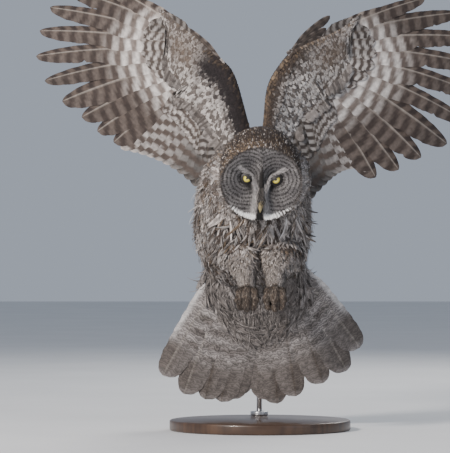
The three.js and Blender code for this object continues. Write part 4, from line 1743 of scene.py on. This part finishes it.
    def legs(self) -> None:
        """Thighs, feathered tarsi and toes."""
        body, coat = self.under.body, self.under.leg_coat
        for side in Side:
            rng = np.random.default_rng(self.seed + 5 + side.value)
            thigh = self.on_tube(body.turned(body.thigh, side), coat, 3.0, rng)
            shank = self.on_tube(body.turned(body.tarsus, side), coat, 2.5, rng)
            sheaf = Sheaf()
            high = smooth(352, 392, thigh.place[:, 2])
            leg = self.marks.legs(thigh.place, rng)
            trunk = self.marks.body(thigh.place, np.ones(len(thigh)), rng)
            paint = {key: mix(leg[key], trunk[key], high[:, None]) for key in leg}
            thigh.lie = unit(thigh.lie + np.array([0.0, 0.0, -1.3]))
            Tufts(19, 2.8, 0.36, loose=0.26).grow(sheaf, thigh, paint, rng, mix(1.0, 1.7, high))
            Tufts(12, 2.0, 0.34, loose=0.2, outline=Outline.BLADE).grow(
                sheaf, shank, self.marks.legs(shank.place, rng), rng)
            self.finish_piece(sheaf, f"coat_leg_{side.word}")
            sheaf = Sheaf()
            foot = Foot(body, side)
            for stations in (foot.palm(), *foot.toes()):
                roots = self.on_tube(stations, self.under.toe_coat, 1.7, rng, 3.5)
                Tufts(5.5, 1.4, 0.3, loose=0.2, outline=Outline.STRAP).grow(
                    sheaf, roots, self.marks.toes(roots.place, rng), rng)
            self.finish_piece(sheaf, f"coat_foot_{side.word}")

    def wing(self, wing: WingPlan) -> None:
        """Small coverts on both faces of one wing.

        Args:
            wing: Its plan.
        """
        rng = np.random.default_rng(self.seed + 20 + wing.side.value)
        coat = 2.0

        def middle(u: Array, v: Array) -> Array:
            """Points half way between the wing's two faces."""
            return 0.5 * (wing.face_at(u, v, -1, coat) + wing.face_at(u, v, 1, coat))

        for face, label, spacing in ((-1, "under", 3.9), (1, "upper", 5.0)):
            surface = (lambda u, v, f=face: wing.face_at(u, np.clip(v, 0, 1), f, coat))
            roots = roots_on(surface, spacing, rng, wrap=False, v_range=(0.0, 0.95))
            roots.normal[np.sign(roots.normal[:, 1]) != face] *= -1
            u, v = roots.share.T
            ahead, back = np.clip(v - 0.05, 0, 1), np.clip(v + 0.05, 0, 1)
            lie = np.zeros_like(roots.place)
            for aside in (-0.08, -0.04, 0.0, 0.04, 0.08):
                near = np.clip(u + aside, 0, 1)
                lie += unit(middle(near, back) - middle(near, ahead))
            roots.lie = unit(lie)
            roots = self.seated(roots, 13.0)
            u, v = roots.share.T
            paint = self.marks.under_coverts(u, v, roots.place, wing.side, rng) if face < 0 \
                else self.marks.upper_coverts(roots.place, v, rng)
            sheaf = Sheaf()
            sizes = mix(0.5, 1.8, v)
            Tufts(3.7 * spacing, 2.0 * spacing, 0.26, 0.5, 0.07).grow(sheaf, roots, paint, rng, sizes)
            self.finish_piece(sheaf, f"coat_wing_{wing.side.word}_{label}")

    def rump(self) -> None:
        """Coverts above and below the tail's root."""
        rng = np.random.default_rng(self.seed + 31)
        roots = self.on_tube(self.under.body.rump, self.under.rump_coat, 7.0, rng, end=0.93)
        below = roots.normal[:, 1] < 0
        regions = (("coat_undertail", below, 62, 1.0), ("coat_rump", ~below, 42, 0.55))
        for name, pick, reach, strength in regions:
            part = roots.keep(pick)
            sheaf = Sheaf()
            paint = self.marks.tail_coverts(part.place, strength, rng)
            Tufts(reach, 11, 0.14, 0.7, 0.2).grow(sheaf, part, paint, rng)
            for _ in range(3):
                part.place = part.place + rng.normal(0, 3.0, part.place.shape)
                Tufts(reach * 0.7, 2.4, 0.2, 0.6, 0.4, Outline.THREAD).grow(sheaf, part, paint, rng)
            self.finish_piece(sheaf, name)

    def build(self) -> None:
        """Grow every region."""
        self.trunk()
        self.neck()
        self.crown()
        self.face()
        self.legs()
        self.wing(RIGHT_WING)
        self.wing(LEFT_WING)
        self.rump()
        self.dye_skin()


# Flight feathers


@dataclass(frozen=True)
class Quill:
    """One large feather in a fan's layout.

    Attributes:
        root: Layout place of its base.
        tip: Layout place of its end.
        width: Full width in millimetres.
        lead: Share of the width on the leading side.
        bow: Bend of the shaft to the leading side, as a share of the length.
        finger: How far the end narrows, 1 for not at all.
        layer: Depth of the feather in its fan.
        blind: Twist: how far the edges stand off the middle.
        stocky: How blunt the tip is.
        number: Its place in the fan.
    """

    root: Array
    tip: Array
    width: float
    lead: float
    bow: float = 0.03
    finger: float = 1.0
    layer: float = 0.0
    blind: float = 1.7
    stocky: float = 6.0
    number: int = 0

    def cover(self, start: float, end: float, width: float, layer: float, blind: float) -> "Quill":
        """Layout of a covert that lies over this feather's base.

        Args:
            start: Share along this feather where the covert begins.
            end: Share where it ends.
            width: Its full width in millimetres.
            layer: Its depth in the fan.
            blind: Its twist.

        Returns:
            The covert's layout.
        """
        run = self.tip - self.root
        return Quill(self.root + run * start, self.root + run * end, width, 0.42, layer=layer, blind=blind,
                     stocky=5, number=self.number)


class Vane(Enum):
    """Kinds of large feather, each with the distance between its bars in millimetres."""

    PRIMARY = 27
    SECONDARY = 26
    TAIL = 31
    COVERT = 16
    ALULA = 22


@dataclass
class FeatherFan:
    """Draws large feathers with shaft, cambered webs, split edges, bars and two faces.

    Attributes:
        place: Function from layout places and depths to the model.
        marks: The colours.
        cells: Number of feathers that the unwrap has room for.
        along: Steps along a feather.
        thick: A feather's thickness in millimetres.
        lanes: Places across a feather, -1 at the trailing edge and 1 at the leading edge.
        cup: How far the webs curve down from the edges, in millimetres.
        shaft: How far the shaft stands out, in millimetres.
        margin: Free share of a cell's width in the unwrap.
        sheaf: Where the feathers go.
        drawn: Number of feathers so far.
    """

    place: Callable[[Array, Array], Array]
    marks: Markings
    cells: int
    along: int = 72
    thick: float = 0.5
    lanes: tuple[float, ...] = (-1, -0.72, -0.4, -0.12, 0, 0.12, 0.45, 0.8, 1.0)
    cup: float = 1.6
    shaft: float = 0.7
    margin: float = 0.03
    sheaf: Sheaf = field(default_factory=Sheaf)
    drawn: int = 0

    def colours(self, kind: Vane, t: Array, s: Array, quill: Quill, length: float, upper: bool,
                rng: np.random.Generator) -> tuple[Array, Array]:
        """Ground colour over one feather and the strength of its fine wavy lines.

        Args:
            kind: Which markings.
            t: Share along the feather.
            s: Place across: -1 at the trailing edge, 1 at the leading edge.
            quill: The feather.
            length: Its length in millimetres.
            upper: Whether this is the feather's upper face.
            rng: Seeded source of scatter.

        Returns:
            Colours and strengths.
        """
        m = self.marks
        phase = rng.uniform(0, 1)
        from_tip = (1 - t) * length
        slant = from_tip + 4 * np.abs(s) + 2.5 * np.sin(s * 5 + phase * 6)
        bar = smooth(0.26, 0.72, 0.5 + 0.5 * np.cos(2 * math.pi * (slant / kind.value + phase * 0.3)))
        lead = smooth(0.0, 0.25, s)
        inner = smooth(0.1, -0.5, s)
        fine = np.zeros(len(t))
        if kind is Vane.PRIMARY:
            end = smooth(0.42, 0.64, t)
            pale = toned((0.25, 0.215, 0.19), (0.66, 0.63, 0.61), inner * 0.85)
            pale = toned(pale, (0.075, 0.055, 0.045), end * 0.95)
            dark = toned((0.12, 0.092, 0.078), (0.035, 0.025, 0.022), lead)
            dark = toned(dark, (0.21, 0.18, 0.165), smooth(0.62, 0.3, t) * 0.8 * (1 - lead))
            dark = toned(dark, (0.026, 0.018, 0.016), end * 0.85)
        elif kind is Vane.SECONDARY:
            shade = 0.25 + 0.6 * smooth(9, 1, quill.number)
            fringe = smooth(9, 3, from_tip)
            pale = toned((0.15, 0.13, 0.12), (0.36, 0.335, 0.32), inner)
            pale = toned(pale, lit(m.pale, 1.2), fringe) * shade
            dark = lit((0.075, 0.058, 0.05))
            bar = bar * (1 - fringe)
        elif kind is Vane.TAIL:
            outer = quill.number / 5
            end = smooth(92, 62, from_tip)
            edge = smooth(0.45, 0.8, s) * smooth(0.55, 0.9, outer) * smooth(60, 110, from_tip)
            pale = toned(lit((0.30, 0.275, 0.265), 1 + 0.25 * outer), (0.60, 0.58, 0.57), edge)
            dark = lit((0.085, 0.068, 0.058))
            bar = bar * (0.25 + 0.4 * outer * inner) * (1 - end)
            bar = np.maximum(bar, end * (0.82 - 0.2 * inner))
            bar = bar * (1 - 0.55 * smooth(16, 5, from_tip)) * (1 - edge)
            fine = 0.75 * (1 - 0.8 * edge) * (1 - 0.4 * end)
        elif kind is Vane.ALULA:
            pale = toned((0.055, 0.043, 0.037), (0.22, 0.19, 0.17), smooth(0.5, 0.95, s) * 0.6)
            dark = lit((0.030, 0.023, 0.020))
        else:
            near_body = 1 - 0.55 * smooth(6.5, 11, quill.number)
            pale = toned(m.mid, (0.46, 0.43, 0.41), 0.4 + 0.5 * inner) * near_body
            dark = lit((0.07, 0.055, 0.048), near_body)
        ground = toned(pale, dark, bar)
        if upper:
            ground = mix(ground * 0.55, lit(m.mid, 0.6), 0.35)
        pale_shaft = kind is Vane.TAIL and quill.number > 3 or kind is Vane.PRIMARY
        shaft = (0.40, 0.36, 0.32) if pale_shaft and not upper else (0.10, 0.078, 0.06)
        return toned(ground, shaft, bell(s, 0.045) * 0.5), fine

    def draw(self, kind: Vane, quill: Quill, rng: np.random.Generator) -> None:
        """Add one feather.

        Args:
            kind: Which markings.
            quill: Its layout.
            rng: Seeded source of scatter.
        """
        t = np.linspace(0, 1, self.along + 1) ** 0.9
        run = quill.tip - quill.root
        length = float(np.linalg.norm(run))
        leadward = np.array([-run[1], run[0]]) / length
        width = np.minimum(0.32 + 2 * t, 1) * np.sqrt(np.maximum(0.0, 1 - t**quill.stocky))
        width = np.maximum(width, 0.04)
        if quill.finger < 1:
            width = width * mix(1.0, quill.finger, smooth(0.40, 0.66, t))
        ragged = 1 + 0.02 * np.sin(t * 61 + rng.uniform(0, 6)) + rng.normal(0, 0.012, len(t))
        notch = np.ones(len(t))
        for _ in range(rng.integers(1, 4)):
            notch -= 0.16 * bell(t - rng.uniform(0.3, 0.9), 0.006)
        spine = quill.root + run * t[:, None] + leadward * (4 * quill.bow * length * t * (1 - t))[:, None]
        tt, ss = np.meshgrid(t, self.lanes, indexing="ij")
        reach = ss * np.where(ss > 0, quill.lead, 1 - quill.lead) * quill.width * (width * ragged)[:, None]
        reach = np.where(ss < 0, reach * notch[:, None], reach)
        rows = (spine[:, None, :] + leadward * reach[..., None]).reshape(-1, 2)
        middle = quill.layer + quill.blind * ss - self.cup * (1 - ss**2) * width[:, None]
        thick = self.thick + self.shaft * bell(ss, 0.1) * (1 - 0.7 * tt)
        across, s, t = len(self.lanes), ss.ravel(), tt.ravel()
        k, i = np.meshgrid(np.arange(self.along), np.arange(across - 1), indexing="ij")
        a = (k * across + i).ravel()
        quads = np.stack([a, a + 1, a + 1 + across, a + across], axis=-1)
        columns = math.ceil(math.sqrt(self.cells))
        corner = np.array([self.drawn % columns, self.drawn // columns]) / columns
        vane = np.stack([s * 0.5 + 0.5, t], axis=-1)
        within = (self.margin + (1 - 2 * self.margin) * vane) * (0.5, 1.0)
        for upper in (False, True):
            off = middle + (thick if upper else -thick) * 0.5
            colour, fine = self.colours(kind, t, s, quill, length, upper, rng)
            colour = colour * np.exp(rng.normal(0, 0.05))
            none = np.zeros(len(rows))
            self.sheaf.add(self.place(rows, off.ravel()), quads[:, ::-1] if upper else quads,
                           pale=colour, dark=colour * 0.3, marks=np.stack([none, fine, none], axis=-1),
                           OFBake=corner + (within + (0.5 if upper else 0.0, 0.0)) / columns, vane=vane)
        self.drawn += 1

    def build(self, name: str, finish: bpy.types.Material) -> bpy.types.Object:
        """Make the fan's mesh.

        Args:
            name: The piece's name.
            finish: Its material.

        Returns:
            The object.
        """
        obj = self.sheaf.build(name, finish)
        return obj


@dataclass
class Wing:
    """Primaries, secondaries, their coverts and the alula of one wing."""

    plan: WingPlan
    marks: Markings
    finish: bpy.types.Material
    primary_width: float = 60
    primary_lead: float = 0.3
    secondary_count: int = 13
    secondary_width: float = 54
    covert_width: float = 0.72
    alula_count: int = 3

    def primary(self, number: int) -> Quill:
        """Layout of one primary.

        Args:
            number: 1 for the innermost.

        Returns:
            The layout.
        """
        wing = self.plan
        wrist = np.array(wing.wrist)
        edge = spline(np.array(wing.hand_edge), np.array([0.62]))[0]
        root = wrist + (edge - wrist) * (number - 1) / 9 * 0.55
        tip = wrist + wing.way(wing.angle_of(number)) * float(wing.shown_reach(number))
        return Quill(root, tip, self.primary_width * (0.8 if number == 10 else 1), self.primary_lead,
                     finger=0.68 if number > 4 else 1.0, number=number)

    def secondary(self, number: int) -> Quill:
        """Layout of one secondary.

        Args:
            number: 0 for the one next to the wrist.

        Returns:
            The layout.
        """
        wing = self.plan
        share = number / (self.secondary_count - 1)
        root = mix(np.array(wing.wrist), np.array(wing.elbow), min(1.0, share * 1.25))
        near = spline(np.array(wing.leading), np.array([0.1]))[0]
        root = mix(root, near, float(np.clip(share * 2.5 - 1.9, 0, 1)))
        return Quill(root, wing.tip_line(np.array(share)), self.secondary_width, 0.36, number=number)

    def build(self) -> None:
        """Draw the wing's large feathers: those of the hand, the arm and the alula."""
        wing = self.plan
        rng = np.random.default_rng(50 + wing.side.value)
        hand = FeatherFan(wing.place, self.marks, 30)
        for number in range(10, 0, -1):
            quill = self.primary(number)
            hand.draw(Vane.PRIMARY, quill, rng)
            for face, share in ((-1, 0.37), (1, 0.48)):
                cover = quill.cover(0.03, share, self.primary_width * self.covert_width,
                                    face * (4.6 - 0.12 * number), 1.0)
                hand.draw(Vane.COVERT, cover, rng)
        arm = FeatherFan(wing.place, self.marks, 3 * self.secondary_count)
        for number in range(self.secondary_count):
            quill = self.secondary(number)
            arm.draw(Vane.SECONDARY, quill, rng)
            for face, share in ((-1, 0.56), (1, 0.6)):
                cover = quill.cover(-0.05, share, self.secondary_width * self.covert_width, face * 4.2, 0.8)
                arm.draw(Vane.COVERT, cover, rng)
        alula = FeatherFan(wing.place, self.marks, 4, along=24)
        root = np.array(wing.alula_root)
        for k in range(self.alula_count):
            tip = root + wing.way(np.array(wing.alula_angle - 9.0 * k)) * wing.alula_reach * 0.8**k
            alula.draw(Vane.ALULA, Quill(root, tip, 19, 0.4, layer=-0.8 * k - 1, blind=0.0, number=10), rng)
        word = wing.side.word
        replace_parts(hand.build(f"primaries_{word}", self.finish), f"wing_{word}_hand")
        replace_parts(arm.build(f"secondaries_{word}", self.finish), f"wing_{word}_arm")
        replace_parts(alula.build(f"alula_{word}", self.finish), f"wing_{word}_alula")


@dataclass
class Tail:
    """Twelve tail feathers that fan from the rump."""

    marks: Markings
    finish: bpy.types.Material
    root: tuple[float, float, float] = (0, 6, 338)
    root_step: Pair = (12, 6)
    slope: float = 19
    cup_right: float = 0.00042
    cup_left: float = -0.0009
    layer: float = 1.5
    width: float = 64
    bow: float = 0.012
    tips_right: tuple[Pair, ...] = ((50, 70), (62, 60), (82, 54), (116, 60), (161, 72), (205, 112))
    tips_left: tuple[Pair, ...] = ((16, 58), (38, 50), (78, 66), (136, 94), (186, 120), (214, 170))

    def place(self, side: Side) -> Callable[[Array, Array], Array]:
        """Find how one side of the tail lies.

        Args:
            side: Which side.

        Returns:
            Function from layout places and depths to the model.
        """
        cup = self.cup_right if side is Side.RIGHT else self.cup_left

        def put(q: Array, off: Array) -> Array:
            """Place points on the tail.

            Args:
                q: Layout places.
                off: How far each is moved off the middle surface along Y.

            Returns:
                The model's points.
            """
            fall = (self.root[2] - q[..., 1]) * math.tan(self.slope * DEGREE)
            y = self.root[1] + fall - cup * q[..., 0]**2 + off
            return np.stack([side.value * q[..., 0], y, q[..., 1]], axis=-1)
        return put

    def build(self) -> None:
        """Draw the twelve feathers, six a side."""
        for side, tips in ((Side.RIGHT, self.tips_right), (Side.LEFT, self.tips_left)):
            rng = np.random.default_rng(70 + side.value)
            fan = FeatherFan(self.place(side), self.marks, len(tips))
            for k, tip in enumerate(tips):
                root = np.array([k * self.root_step[0], self.root[2] - 10 + k * self.root_step[1]])
                layer = -self.layer * (k + (0.5 if side is Side.RIGHT else 0))
                fan.draw(Vane.TAIL, Quill(root, np.array(tip, float), self.width, 0.4, bow=self.bow,
                                          layer=layer, blind=0.5, stocky=14, number=k), rng)
            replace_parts(fan.build(f"tail_feathers_{side.word}", self.finish), "tail")


# Eyes, bill, claws and stand


def dress_node(node: bpy.types.Object, material: bpy.types.Material) -> None:
    """Give a node of the CAD model its finish."""
    node.data.materials.clear()
    node.data.materials.append(material)


@dataclass
class Eyes:
    """Globe, iris, pupil and lids of both eyes."""

    head: HeadPlan
    iris_radius: float = 8.6
    pupil_radius: float = 2.6
    open_radius: float = 7.8
    lid_radius: float = 14.0
    lid_drop: float = 1.3
    lid_angle: float = 51

    def plate(self, name: str, side: Side, radii: Array, ahead: Array,
              material: bpy.types.Material) -> bpy.types.Object:
        """A ring-shaped plate round the middle of an eye.

        Args:
            name: Piece name.
            side: Which eye.
            radii: Distance of its points from the middle, a ring a row.
            ahead: How far forward they lie.
            material: Its finish.

        Returns:
            The piece.
        """
        rings, corners = radii.shape
        angle = 2 * math.pi * np.arange(corners) / corners
        right = side.value * self.head.eye_apart / 2 + radii * np.cos(angle)
        up = self.head.eye_up + radii * np.sin(angle)
        points = self.head.place(np.stack([right, ahead, up], axis=-1).reshape(-1, 3)) * MM
        mesh = bpy.data.meshes.new(name)
        mesh.from_pydata([tuple(p) for p in points], [], ring_quads(corners, rings - 1))
        return add_piece(name, mesh, material)

    def disc(self, name: str, side: Side, radius: float, ahead: float, bulge: float,
             material: bpy.types.Material, inner: float = 0.0) -> None:
        """A round bowed plate in front of the eye's middle.

        Args:
            name: Piece name.
            side: Which eye.
            radius: Its rim.
            ahead: How far forward its rim lies.
            bulge: Rise of its middle.
            material: Its finish.
            inner: Radius of a hole, or 0.
        """
        radii = np.tile(np.linspace(inner, radius, 11)[:, None], 48)
        obj = self.plate(name, side, radii, ahead + bulge * (1 - (radii / radius) ** 2), material)

    def lid(self, side: Side, material: bpy.types.Material) -> None:
        """Dark rim of skin round the eye, with the upper lid drawn down towards the bill.

        Args:
            side: Which eye.
            material: The lid's finish.
        """
        angle = 2 * math.pi * np.arange(72) / 72
        cut_way = math.pi / 2 + side.value * (math.pi / 2 - self.lid_angle * DEGREE)
        opening = np.minimum(self.open_radius, self.lid_drop / np.maximum(np.cos(angle - cut_way), 0.05))
        share = np.linspace(0, 1, 9)[:, None]
        radii = opening + (self.lid_radius - opening) * share
        fold = 0.7 * np.exp(-((share - 0.12) / 0.09) ** 2)
        ahead = 56.2 - 6.4 * (radii / self.lid_radius) ** 2.2 + fold
        obj = self.plate(f"lid_{side.word}", side, radii, ahead, material)

    def build(self) -> None:
        """Make both eyes."""
        iris = Grained("eye_iris", (0.72, 0.58, 0.05), (0.90, 0.80, 0.16), 0.2, 900,
                       bump=0.1, coat=1.0).material()
        pupil = Grained("eye_pupil", (0.002, 0.002, 0.002), (0.004, 0.004, 0.004), 0.05, 90,
                        bump=0.0, coat=1.0).material()
        globe = Grained("eye_globe", (0.02, 0.016, 0.012), (0.03, 0.02, 0.015), 0.15, 90,
                        bump=0.0, coat=1.0).material()
        skin = Grained("lid_skin", (0.012, 0.010, 0.010), (0.03, 0.026, 0.024), 0.55, 900,
                       bump=0.5).material()
        for side in Side:
            dress_node(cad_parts[f"eye_{side.word}"], globe)
            self.disc(f"iris_{side.word}", side, self.iris_radius, 52.0, 2.6, iris, self.pupil_radius * 0.9)
            self.disc(f"pupil_{side.word}", side, self.pupil_radius, 54.1, 0.4, pupil)
            self.lid(side, skin)


@dataclass
class Horn:
    """Finishes of the bill and the claws, whose solids stay."""

    def build(self) -> None:
        """Dress the nodes."""
        bill = Grained("bill_horn", (0.22, 0.17, 0.07), (0.34, 0.27, 0.12), 0.32, 260, (1, 1, 0.4),
                       bump=0.15, coat=0.3).material()
        claw = Grained("claw_horn", (0.012, 0.010, 0.009), (0.05, 0.042, 0.036), 0.28, 300, (1, 1, 0.5),
                       bump=0.2, coat=0.4).material()
        for name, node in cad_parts.items():
            for start, finish in (("bill_", bill), ("claw_", claw)):
                if name.startswith(start):
                    dress_node(node, finish)


@dataclass
class Stand:
    """Wooden base, collar and rod.

    Attributes:
        base_edge: Radius of the base's rims in millimetres.
        collar_edge: Radius of the collar's rims in millimetres.
        crease: Angle in degrees from which an edge stays sharp.
    """

    base_edge: float = 4
    collar_edge: float = 2
    crease: float = 35

    def build(self) -> None:
        """Dress the rod, and make a smooth base and collar in the place of the faceted ones."""
        wood = Grained("stained_wood", (0.035, 0.018, 0.010), (0.085, 0.045, 0.024), 0.38, 14, (1, 9, 1),
                       bump=0.15, coat=0.25).material()
        steel = Grained("rod_steel", (0.42, 0.42, 0.43), (0.55, 0.55, 0.56), 0.32, 120, (1, 1, 0.05),
                        bump=0.1, metallic=1.0).material()
        dress_node(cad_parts["stand_rod"], steel)
        self.disc("stand_base", self.base_edge, 180, wood)
        self.disc("stand_collar", self.collar_edge, 72, steel)

    def disc(self, name: str, edge: float, sides: int, material: bpy.types.Material) -> None:
        """A smooth round disc with rounded rims in the place of a faceted node.

        Args:
            name: The node that it replaces.
            edge: Radius of the rims in millimetres.
            sides: Corners round the disc.
            material: Its finish.
        """
        spots = np.array([tuple(v.co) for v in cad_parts[name].data.vertices])
        low, high = spots.min(axis=0), spots.max(axis=0)
        radius = (high[0] - low[0]) / 2
        bm = bmesh.new()
        bmesh.ops.create_cone(bm, cap_ends=True, segments=sides, radius1=radius, radius2=radius,
                              depth=high[2] - low[2], matrix=Matrix.Translation(Vector((low + high) / 2)))
        rims = [e for e in bm.edges if abs(e.verts[0].co.z - e.verts[1].co.z) < 1e-6]
        bmesh.ops.bevel(bm, geom=rims, offset=edge * MM, offset_type="OFFSET", segments=4, profile=0.5,
                        affect="EDGES", material=-1)
        bmesh.ops.recalc_face_normals(bm, faces=bm.faces)
        mesh = bpy.data.meshes.new(f"smooth_{name}")
        bm.to_mesh(mesh)
        bm.free()
        obj = add_piece(f"smooth_{name}", mesh, material)
        mesh.set_sharp_from_angle(angle=math.radians(self.crease))
        "base_wood" if name == "stand_base" else "stand_metal"
        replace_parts(obj, name)


# Studio


@dataclass(frozen=True)
class Studio:
    """Camera in the photo's place, plain floor and soft light.

    Attributes:
        distance: From the camera to the bird's axis, in millimetres.
        scale: Millimetres to one of the photo's pixels.
        frame_wide: The photo's width in pixels.
        frame_high: Its height in pixels.
        axis_pixel: Column of the bird's axis.
        floor_pixel: Row of the floor.
        sensor: The camera sensor's height in millimetres.
        aim: Where the lights point, in metres.
    """

    distance: float = 7000
    scale: float = 2.10
    frame_wide: int = 450
    frame_high: int = 453
    axis_pixel: float = 260
    floor_pixel: float = 430
    sensor: float = 36
    aim: tuple[float, float, float] = (0, 0, 0.5)

    def camera(self) -> None:
        """Set the level camera that keeps the photo's framing."""
        data = bpy.data.cameras.new("camera")
        data.sensor_fit = "VERTICAL"
        data.sensor_height = self.sensor
        data.lens = self.distance * self.sensor / (self.frame_high * self.scale)
        data.clip_end = 60
        obj = bpy.data.objects.new("camera", data)
        x = (self.frame_wide / 2 - self.axis_pixel) * self.scale
        z = (self.floor_pixel - self.frame_high / 2) * self.scale
        obj.location = (x * MM, -self.distance * MM, z * MM)
        obj.rotation_euler = (math.pi / 2, 0, 0)
        bpy.context.scene.collection.objects.link(obj)
        bpy.context.scene.camera = obj

    def light(self, name: str, place: tuple[float, float, float], size: float, power: float,
              colour: Colour) -> None:
        """Add one soft light aimed at the bird's middle.

        Args:
            name: Its name.
            place: Where it stands, in metres.
            size: Its side in metres.
            power: Its power in watts.
            colour: Its colour.
        """
        data = bpy.data.lights.new(name, "AREA")
        data.size = size
        data.energy = power
        data.color = colour
        obj = bpy.data.objects.new(name, data)
        obj.location = place
        obj.rotation_euler = (Vector(self.aim) - Vector(place)).to_track_quat("-Z", "Y").to_euler()
        bpy.context.scene.collection.objects.link(obj)

    def build(self) -> None:
        """Set floor, lights, world and camera."""
        bm = bmesh.new()
        bmesh.ops.create_grid(bm, x_segments=1, y_segments=1, size=12)
        mesh = bpy.data.meshes.new("floor")
        bm.to_mesh(mesh)
        bm.free()
        plain = Grained("pale_floor", (0.62, 0.63, 0.64), (0.66, 0.67, 0.68), 0.9, 3)
        mesh.materials.append(plain.material())
        floor = bpy.data.objects.new("floor", mesh)
        bpy.context.scene.collection.objects.link(floor)
        floor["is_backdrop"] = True
        world = bpy.data.worlds.new("studio")
        world.use_nodes = True
        sky = world.node_tree.nodes["Background"].inputs
        sky[0].default_value = (0.70, 0.78, 0.92, 1)
        sky[1].default_value = 0.5
        bpy.context.scene.world = world
        self.light("key", (-2.4, -3.3, 2.3), 0.7, 290, (1.0, 0.93, 0.87))
        self.light("fill", (2.8, -2.6, 1.4), 2.5, 16, (0.85, 0.90, 1.0))
        self.light("rim", (1.2, 2.8, 2.4), 1.6, 70, (1.0, 0.97, 0.93))
        self.camera()


def main() -> None:
    """Build the owl and its studio in order."""
    logging.basicConfig(level=logging.INFO, format="%(message)s")
    marks = Markings()
    under = Skin(BodyPlan(), HeadPlan())
    skin = under.build(Hide("marked_skin").material())
    fleshy = ["head", "neck", "trunk"]
    for side in Side:
        fleshy += [f"{part}_{side.word}" for part in ("thigh", "tarsus", "foot")]
    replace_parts(skin, *fleshy)
    small = Plumage("small_feathers", bars=2.2).material()
    face = Plumage("face_feathers", grain=0.2, bars=1).material()
    large = Plumage("large_feathers", grain=0.5, roughness=0.7, barbs=130, blot=120).material()
    tail = Plumage("tail_feathers", grain=0.6, roughness=0.75, barbs=130, bars=42, wander=26,
                   blot=95).material()
    Coat(skin, under, marks, small, face).build()
    Wing(RIGHT_WING, marks, large).build()
    Wing(LEFT_WING, marks, large).build()
    Tail(marks, tail).build()
    Eyes(under.head).build()
    Horn().build()
    Stand().build()
    Studio().build()
    {"cad": [list(c) for c in CAD_BOX], "visual": [list(c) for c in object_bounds()]}


if __name__ == "__main__":
    main()
